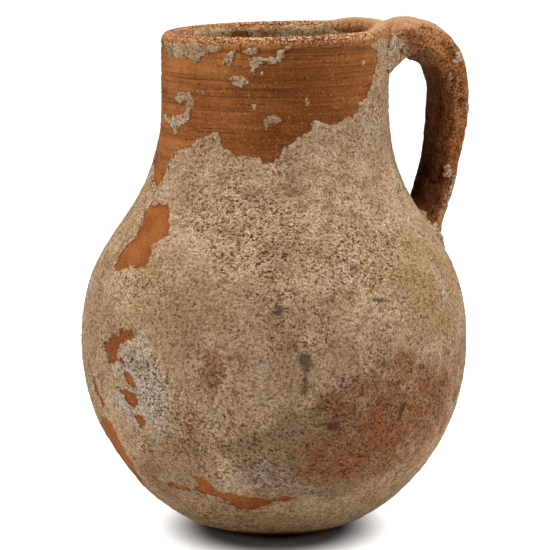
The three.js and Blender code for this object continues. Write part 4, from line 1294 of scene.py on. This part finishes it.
def grit_of(description, default):
    return bpy.props.FloatProperty(name="Grit per square metre", description=description, min=0,
                                   max=400000, default=default)


def power_of(label, description, default):
    return bpy.props.FloatProperty(name=label, description=description, subtype="POWER",
                                   unit="POWER", min=0, default=default)


class JugClay(bpy.types.PropertyGroup):
    """The thrown and smeared clay."""

    light_colour: colour_of("Light clay", "Where the clay fired pale", "#B37039")
    dark_colour: colour_of("Dark clay", "Where the clay fired deep", "#935224")
    grit_colour: colour_of("Grit", "Crushed limestone in the clay", "#E0BF9A")
    furrow_depth: length_of("Furrow depth", "Depth of the level furrows of the wheel",
                            0, 0.001, 0.0004)
    furrow_spacing: length_of("Furrow spacing", "Height from one furrow to the next",
                              0.0003, 0.01, 0.0017)
    grain_depth: length_of("Grain depth", "Height of the clay's grain", 0, 0.001, 0.00014)
    grit_per_area: grit_of("How many grains stand out of the clay", 60000)


class JugCrust(bpy.types.PropertyGroup):
    """The lime crust and the soil in the mouth."""

    pale_colour: colour_of("Pale lime", "The cleaner lime", "#CDAD87")
    tan_colour: colour_of("Tan lime", "Lime bound with silt", "#B6926C")
    bloom_colour: colour_of("Bloom", "Grey-white powdery lime", "#C9BFAF")
    blush_colour: colour_of("Blush", "Red-brown where the clay shows through", "#8F542B")
    ochre_colour: colour_of("Ochre", "Yellow-brown soil in the lime", "#B4915F")
    pit_colour: colour_of("Pits", "Dirt in the pits", "#51301A")
    thickness: length_of("Thickness", "How far the crust stands off the clay",
                         0.0004, 0.0008, 0.0006)
    grit_per_area: grit_of("How many grains stand out of the crust", 26000)


class JugStage(bpy.types.PropertyGroup):
    """The light that the jug stands in."""

    top_power: power_of("Top light", "Power of the lamp overhead", 10.6)
    side_power: power_of("Side lights", "Power of the lamps at left and right", 5.9)
    front_power: power_of("Front light", "Power of the weak lamp in front", 0.25)
    ambient: bpy.props.FloatProperty(
        name="Ambient", description="Brightness of the room all round", min=0, max=1, default=0.13)


def smear_material():
    return material_for("smear", pulled_clay, "finger_smeared_earthenware", "#A26334", "#C88C57")


def crust_material():
    return material_for("crust", lime_crust, bpy.context.scene.jug_crust)


def turn_wall(name, node, outline, closes, columns):
    """Turns a line of (radius, height) points in mm into a wall that stands for a solid node."""
    clay = bpy.context.scene.jug_clay
    mesh = bpy.data.meshes.new(name)
    count = len(outline)
    edges = [(i, i + 1) for i in range(count - 1)] + ([(count - 1, 0)] if closes else [])
    mesh.from_pydata([(r / 1000, 0, z / 1000) for r, z in outline], edges, [])
    thing = bpy.data.objects.new(name, mesh)
    bpy.context.scene.collection.objects.link(thing)
    turned_wall().grow(thing, {
        "Columns": columns, "Rows": 300, "Furrow Depth": clay.furrow_depth,
        "Furrow Spacing": clay.furrow_spacing, "Grain Depth": clay.grain_depth,
    }, material_for("clay", fired_clay, clay))
    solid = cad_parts[node].data
    tree = BVHTree.FromPolygons([v.co for v in solid.vertices],
                                [p.vertices for p in solid.polygons])
    worst = max(tree.find_nearest(v.co)[3] for v in list(thing.data.vertices)[::97]) * 1000
    if worst > MOST_OFF_SOLID:
        raise RuntimeError(f"{name} stands {worst:.2f} mm off {node}")
    settle(thing, "fired_clay", node)


class JUG_OT_turn_body(bpy.types.Operator):
    """Turns the round body with its flat base and its hollow"""

    bl_idname = "jug.turn_body"
    bl_label = "Turn the body"

    def execute(self, context):
        turn_wall("clay_body", "body", body_profile(), False, 257)
        return {"FINISHED"}


class JUG_OT_turn_neck(bpy.types.Operator):
    """Turns the wide neck with its round lip and the grooves under it"""

    bl_idname = "jug.turn_neck"
    bl_label = "Turn the neck"

    def execute(self, context):
        turn_wall("clay_neck", "neck", neck_profile(), True, 321)
        return {"FINISHED"}


class JUG_OT_pull_strap(bpy.types.Operator):
    """Bends the hand-pulled strap from the lip out and down to the shoulder"""

    bl_idname = "jug.pull_strap"
    bl_label = "Pull the strap"

    def execute(self, context):
        share, turn = strap_grid(380, 128, 0, 1)
        # The strap's relief, and the dirt and painted shade that its material darkens it with
        rise, grime = strap_relief(share, turn)
        clay = material_for("strap", pulled_clay, "hand_pulled_earthenware", "#945426", "#B8743C")
        thing = tube("clay_strap", STRAP.skin(share, turn, rise, False, 2.4), clay,
                     {"grime": grime})
        settle(thing, "fired_clay", "handle")
        return {"FINISHED"}


class JUG_OT_smear_joins(bpy.types.Operator):
    """Smears wet clay over both joins of the strap"""

    bl_idname = "jug.smear_joins"
    bl_label = "Smear the joins"

    def execute(self, context):
        for name, node, first, last, far in (
            ("smear_at_rim", "handle_rim_collar", 0.0, 0.36, 0.3),
            ("smear_at_shoulder", "handle_foot_collar", 0.62, 1.0, 0.7),
        ):
            share, turn = strap_grid(170, 150, first, last)
            # The smears take the strap's dirt and painted shade too
            rise, grime = strap_relief(share, turn)
            plain = STRAP.skin(share, turn, rise, False, 2.2)
            reach = (share - far) * STRAP.length * (-1 if first == 0 else 1)
            reach = reach + rough(plain, (2.2, 9, 61), (0.9, 3, 62))
            lift = rise - 0.35 + 0.55 * ease(reach, 0, 3)
            outer = STRAP.skin(share, turn, lift, True, 2.0)
            inner = STRAP.skin(share, turn, rise - 1.3, False, 2.6)
            piece = shell(name, outer, inner, np.minimum(reach + 1, 1), True, smear_material(),
                          {"grime": grime * 0.9})
            settle(piece, "luting_clay", node)
        # A thumb drew the clay of the upper join out along the lip and over it
        low, high = run_at(SMEAR_HEIGHTS[0]), CREST + SMEAR_PAST_CREST
        angle, run = pot_grid(-1.0, 1.0, low, high, SMEAR_CELL)
        ground = pot_skin(angle, run, 0)
        across = np.degrees(np.abs(angle)) + 4 * lumps(ground, 7, 63)
        lift = 2.0 * ease(47 - across, 0, 28) * ease(run, low, run_at(SMEAR_HEIGHTS[1]))
        lift = lift * ease(high - run, 0, 4) + 0.15 * lumps(ground, 2.2, 64)
        inner = pot_skin(angle, run, SMEAR_ROOT)
        piece = shell("smear_on_lip", pot_skin(angle, run, lift), inner, lift - 0.08, False,
                      smear_material(), {"grime": np.zeros(angle.shape)})
        settle(piece, "luting_clay")
        return {"FINISHED"}


class JUG_OT_grow_sheet(bpy.types.Operator):
    """Grows the sheet of lime over the body and the foot of the neck, with its bare places"""

    bl_idname = "jug.grow_sheet"
    bl_label = "Grow the lime sheet"

    def execute(self, context):
        sectors, per_sector = 6, 112
        columns = sectors * per_sector
        low, high = run_at(np.array(SHEET_HEIGHTS))
        angle, run = np.meshgrid(np.arange(columns) * 2 * math.pi / columns - math.pi,
                                 np.linspace(low, high, round((high - low) / SHEET_CELL)))
        ground = pot_skin(angle, run, 0)
        bare = depth_in_any(BARE_NECK + BARE_BODY, angle, run, run_at, off_axis(ground))
        ragged = rough(ground, (0.8, 2.6, 1), (0.6, 1.25, 2))
        # The outlines are plainer on the far side, so the noise breaks them up more there
        ragged += 1.5 * ease(np.cos(angle - math.radians(72)), -0.1, 0.5) * lumps(ground, 5.5, 6)
        foot, top = run_at(np.array(LIME_HEIGHTS))
        cover = np.minimum(-bare, top - run + 0.6 * lumps(ground, 6, 3))
        cover = np.minimum(cover + ragged, run - foot + 0.8 * lumps(ground, 5, 4))
        rise = crust_rise(ground, cover, context.scene.jug_crust.thickness * 1000, 0.22, 1.5)
        outer, inner = pot_skin(angle, run, rise), pot_skin(angle, run, CRUST_ROOT)
        normals = grid_normals(outer, True)
        tints = crust_tints(ground, angle, run, cover)
        for sector in range(sectors):
            taken = np.arange(sector * per_sector, (sector + 1) * per_sector + 1) % columns
            piece = shell(
                f"lime_sheet_{sector + 1}", outer[:, taken], inner[:, taken], cover[:, taken],
                False, crust_material(), {kind: grid[:, taken] for kind, grid in tints.items()},
                normals[:, taken],
            )
            settle(piece, "lime_crust", "crust_sheet")
        return {"FINISHED"}


class JUG_OT_leave_flecks(bpy.types.Operator):
    """Leaves islands and crumbs of lime on the bare neck"""

    bl_idname = "jug.leave_flecks"
    bl_label = "Leave the flecks"

    def execute(self, context):
        thickness = context.scene.jug_crust.thickness * 1000
        for number, outline in enumerate(FLECKS, 1):
            piece = fleck(f"lime_fleck_{number}", outline, thickness * 0.75, FLECK_CELL)
            settle(piece, "lime_crust", f"neck_crust_{number}")
        for number, outline in enumerate(CRUMBS, 1):
            piece = fleck(f"lime_crumb_{number}", outline, thickness * 0.7, CRUMB_CELL)
            settle(piece, "lime_crust")
        return {"FINISHED"}


class JUG_OT_crust_strap(bpy.types.Operator):
    """Grows the lime that clings to the strap"""

    bl_idname = "jug.crust_strap"
    bl_label = "Crust the strap"

    def execute(self, context):
        thickness = context.scene.jug_crust.thickness * 1000
        for part, outlines in (*STRAP_CRUST.items(), ("crumbs", STRAP_CRUMBS)):
            shares = [at for outline in outlines for at, _ in outline]
            first, last = max(min(shares) - 0.02, 0), min(max(shares) + 0.02, 1)
            if part == "foot":
                last = 0.98
            rows = round((last - first) * STRAP.length / STRAP_LIME_CELL)
            share, turn = strap_grid(rows, 200, first, last)
            rise, _ = strap_relief(share, turn)
            ground = STRAP.skin(share, turn, rise, True, 2.0)
            sections = [[(degrees, at) for at, degrees in outline] for outline in outlines]
            cover = depth_in_any(sections, turn, share * STRAP.length,
                                 lambda at: at * STRAP.length, np.full(share.shape, STRAP_RADIUS))
            if part == "foot":
                # Lime banked up round the foot, where the strap runs into the shoulder
                bank = 3.0 - off_pot(ground) + 1.8 * lumps(ground, 4.5, 75)
                cover = np.maximum(cover, np.where(share > 0.8, bank, -12))
            cover = cover + rough(ground, (1.0, 2.4, 71), (0.6, 1.0, 72))
            above = crust_rise(ground, cover, thickness * 0.6, 0.12, 0.9, 0.6)
            outer = STRAP.skin(share, turn, rise + 0.2 + above, True, 1.4)
            inner = STRAP.skin(share, turn, rise - 0.4, True, 2.2)
            # Under the bend at the rim the lime is thin and brown
            browner = 0.95 * ease(share, 0.13, 0.2) * ease(0.3 - share, 0, 0.04)
            plain = np.zeros(share.shape)
            tints = {"blush": np.maximum(0.3 * ease(lumps(ground, 9, 73), 0.2, 0.8), browner),
                     "bloom": 0.3 * (1 - browner), "silt": 0.6 * browner, "cover": cover,
                     "ochre": 0.3 * ease(lumps(ground, 12, 74), 0, 0.7), "stain": plain,
                     "pitted": plain + 0.7}
            piece = shell(f"strap_lime_{part}", outer, inner, cover, True, crust_material(), tints)
            settle(piece, "lime_crust", *([f"strap_crust_{part}"] if part in STRAP_CRUST else []))
        return {"FINISHED"}


class JUG_OT_lay_mouth_soil(bpy.types.Operator):
    """Lays dried soil on the inside wall of the neck"""

    bl_idname = "jug.lay_mouth_soil"
    bl_label = "Lay the mouth soil"

    def execute(self, context):
        inside = SKIN.run > CREST

        def down_at(height):
            return np.interp(-height, -SKIN.points[inside, 1], SKIN.run[inside])

        low, high = CREST + SOIL_PAST_CREST, down_at(SOIL_FOOT)
        angle, run = np.meshgrid(np.arange(400) * 2 * math.pi / 400,
                                 np.linspace(low, high, round((high - low) / SOIL_CELL)))
        ground = pot_skin(angle, run, 0)
        cover = np.minimum(run - low - 1.6, high - run - 1.5) + 1.1 * lumps(ground, 6, 81)
        scale = np.full(angle.shape, NECK_RADIUS - NECK_WALL)
        cover = np.minimum(cover, -depth_in_any(DEPOSIT_BITES, angle, run, down_at, scale))
        cover = cover + rough(ground, (0.8, 2.6, 82), (0.4, 1.1, 83))
        rise = crust_rise(ground, cover, 0.55, 0.14, 1.4)
        inner = pot_skin(angle, run, ISLAND_ROOT)
        piece = shell("mouth_soil", pot_skin(angle, run, rise), inner, cover, True,
                      material_for("soil", soil_deposit))
        settle(piece, "mouth_deposit", "mouth_deposit")
        return {"FINISHED"}


class JUG_OT_sow_grit(bpy.types.Operator):
    """Sows grains that stand out of the clay and the crust"""

    bl_idname = "jug.sow_grit"
    bl_label = "Sow the grit"

    def execute(self, context):
        clay, crust = context.scene.jug_clay, context.scene.jug_crust
        growth = scattered_grit()
        in_clay = material_for("clay_grit", grains, "crushed_limestone_temper", "#98643B",
                               "#BF9168")
        in_crust = material_for("crust_grit", grains, "calcite_grains", "#8C7050", "#C2A682")
        hosts = [("clay_neck", clay.grit_per_area, in_clay, "fired_clay", 0.131, 0.00022),
                 ("clay_strap", clay.grit_per_area * 0.8, in_clay, "fired_clay", 0.0, 0.00026),
                 ("smear_at_rim", clay.grit_per_area, in_clay, "luting_clay", 0.0, 0.00026)]
        hosts += [(f"lime_sheet_{k}", crust.grit_per_area, in_crust, "lime_crust", 0.0, 0.00034)
                  for k in range(1, 7)]
        for number, (host, amount, material, slot, lowest, largest) in enumerate(hosts, 1):
            thing = bpy.data.objects.new(f"grit_{number}", bpy.data.objects[host].data.copy())
            context.scene.collection.objects.link(thing)
            growth.grow(thing, {
                "Per Square Metre": amount, "Smallest": 0.00012, "Largest": largest,
                "Lowest": lowest, "Seed": 40 + number,
            }, material)
            settle(thing, slot)
        return {"FINISHED"}


def looking(name, data, place, target):
    """A lamp or a camera at a place, turned to look at a target."""
    thing = bpy.data.objects.new(name, data)
    thing.location = place
    thing.rotation_euler = (Vector(target) - Vector(place)).to_track_quat("-Z", "Y").to_euler()
    bpy.context.scene.collection.objects.link(thing)
    return thing


class JUG_OT_set_stage(bpy.types.Operator):
    """Sets the floor, the lamps, the white surround and the camera"""

    bl_idname = "jug.set_stage"
    bl_label = "Set the stage"

    def execute(self, context):
        scene, stage = context.scene, context.scene.jug_stage
        mesh = bpy.data.meshes.new("floor")
        mesh.from_pydata([(-9, -9, 0), (9, -9, 0), (9, 9, 0), (-9, 9, 0)], [], [(0, 1, 2, 3)])
        floor = bpy.data.objects.new("floor", mesh)
        scene.collection.objects.link(floor)
        mesh.materials.append(self.paper())

        world = bpy.data.worlds.new("surround")
        scene.world = world
        world.use_nodes = True
        world.node_tree.nodes.clear()
        nodes = Nodes(world.node_tree)
        nodes.node("ray", "ShaderNodeLightPath")
        seen = nodes.reckon("seen", "MAXIMUM", "ray>Is Camera Ray", "ray>Is Transmission Ray")
        strength = nodes.ramp("strength", seen, 0.0, 1.0, 1.0, stage.ambient)
        nodes.node("white", "ShaderNodeBackground", None,
                   {"Color": (1, 1, 1, 1), "Strength": strength})
        nodes.node("out", "ShaderNodeOutputWorld", None, {"Surface": "white>0"})

        camera = bpy.data.cameras.new("photo_view")
        camera.lens, camera.sensor_width = 217.6, 36
        camera.shift_x, camera.shift_y = 0.00145, 0.0011
        camera.clip_start, camera.clip_end = 0.05, 60
        scene.camera = looking("photo_view", camera, (-0.3863, -1.1888, 0.2884), (0, 0, 0.095))
        scene.view_settings.view_transform = "Standard"

        # Square soft lamps, placed ahead of the pot on the line of sight, to its right and above.
        # They aren't seen themselves.
        sight = math.radians(SIGHT_ANGLE)
        ahead = Vector((math.cos(sight), math.sin(sight), 0))
        right = Vector((-ahead.y, ahead.x, 0))
        for name, power, size, forward, sideways, up in (
            ("lamp_top", stage.top_power, 0.28, 0.12, 0.0, 1.1),
            ("lamp_left", stage.side_power, 0.42, 0.22, -1.0, 0.45),
            ("lamp_right", stage.side_power, 0.42, 0.05, 1.0, 0.45),
            ("lamp_front", stage.front_power, 0.8, 1.15, 0.0, 0.75),
        ):
            light = bpy.data.lights.new(name, "AREA")
            light.energy, light.size = power, size
            place = ahead * forward + right * sideways + Vector((0, 0, up))
            looking(name, light, place, (0, 0, 0.1)).visible_camera = False
        return {"FINISHED"}

    @staticmethod
    def paper():
        """Sheet of white card. To the eye: no texture, and a dark soft shadow under the pot, which
        is partly painted on the card.
        """
        finish = Finish("white_card")
        # The painted shadow is narrow across the line of sight and reaches 8 mm further towards the
        # eye
        finish.node("oval", "ShaderNodeMapping", {"vector_type": "TEXTURE"}, {
            "Vector": PLACE, "Location": (-0.0025, -0.0076, 0),
            "Rotation": (0, 0, math.radians(SIGHT_ANGLE + 90)), "Scale": (0.78, 1.1, 1),
        })
        away = finish.vector("away", "LENGTH", "Value", "oval>0")
        finish.node("ray", "ShaderNodeLightPath")
        # The card's own white starts beside the pot, so that the shadow under it stays dark, and
        # nearer the pot the card is painted grey for the camera as painted shadow
        clear = finish.ramp("clear", away, 0.032, 0.066, smooth=True)
        under_pot = finish.reckon("under_pot", "SUBTRACT", 1.0, clear)
        dark = finish.reckon("dark_share", "MULTIPLY", "ray>Is Camera Ray", under_pot)
        finish.mix("shade", dark, "#E6E6E6", "#5A5A5A")
        # For other rays the card glows, though it is no lamp: painted light that it throws up under
        # the belly
        strength = finish.ramp("strength", "ray>Is Camera Ray", 0.0, 1.0, 1.0, 0.22)
        finish.node("glow", "ShaderNodeEmission", None, {
            "Color": (1, 1, 1, 1), "Strength": finish.reckon("seen", "MULTIPLY", strength, clear),
        })
        finish.node("card", "ShaderNodeBsdfDiffuse", None, {"Color": finish.colour})
        finish.node("both", "ShaderNodeAddShader", None, {0: "card>0", 1: "glow>0"})
        finish.node("out", "ShaderNodeOutputMaterial", None, {"Surface": "both>0"})
        return finish.material


class JUG_PT_sidebar(bpy.types.Panel):
    """Lists the sizes, the colours and the steps of the jug"""

    bl_idname = "JUG_PT_sidebar"
    bl_label = "Lime-crusted jug"
    bl_space_type = "VIEW_3D"
    bl_region_type = "UI"
    bl_category = "Jug"

    def draw(self, context):
        scene = context.scene
        for title, group in (("Clay", scene.jug_clay), ("Crust", scene.jug_crust),
                             ("Stage", scene.jug_stage)):
            box = self.layout.box()
            box.label(text=title)
            for name in group.bl_rna.properties.keys():
                if name not in ("rna_type", "name"):
                    box.prop(group, name)
        for step in STEPS:
            self.layout.operator(step.bl_idname)


STEPS = (
    JUG_OT_turn_body, JUG_OT_turn_neck, JUG_OT_pull_strap, JUG_OT_smear_joins, JUG_OT_grow_sheet,
    JUG_OT_leave_flecks, JUG_OT_crust_strap, JUG_OT_lay_mouth_soil, JUG_OT_sow_grit,
    JUG_OT_set_stage,
)
GROUPS = {"jug_clay": JugClay, "jug_crust": JugCrust, "jug_stage": JugStage}


def register():
    for kind in (*GROUPS.values(), *STEPS, JUG_PT_sidebar):
        bpy.utils.register_class(kind)
    for name, group in GROUPS.items():
        setattr(bpy.types.Scene, name, bpy.props.PointerProperty(type=group))


def unregister():
    for name in GROUPS:
        delattr(bpy.types.Scene, name)
    for kind in reversed((*GROUPS.values(), *STEPS, JUG_PT_sidebar)):
        bpy.utils.unregister_class(kind)


def main():
    register()
    bpy.ops.jug.turn_body()
    bpy.ops.jug.turn_neck()
    bpy.ops.jug.pull_strap()
    bpy.ops.jug.smear_joins()
    bpy.ops.jug.grow_sheet()
    bpy.ops.jug.leave_flecks()
    bpy.ops.jug.crust_strap()
    bpy.ops.jug.lay_mouth_soil()
    bpy.ops.jug.sow_grit()
    bpy.ops.jug.set_stage()


if __name__ == "__main__":
    main()
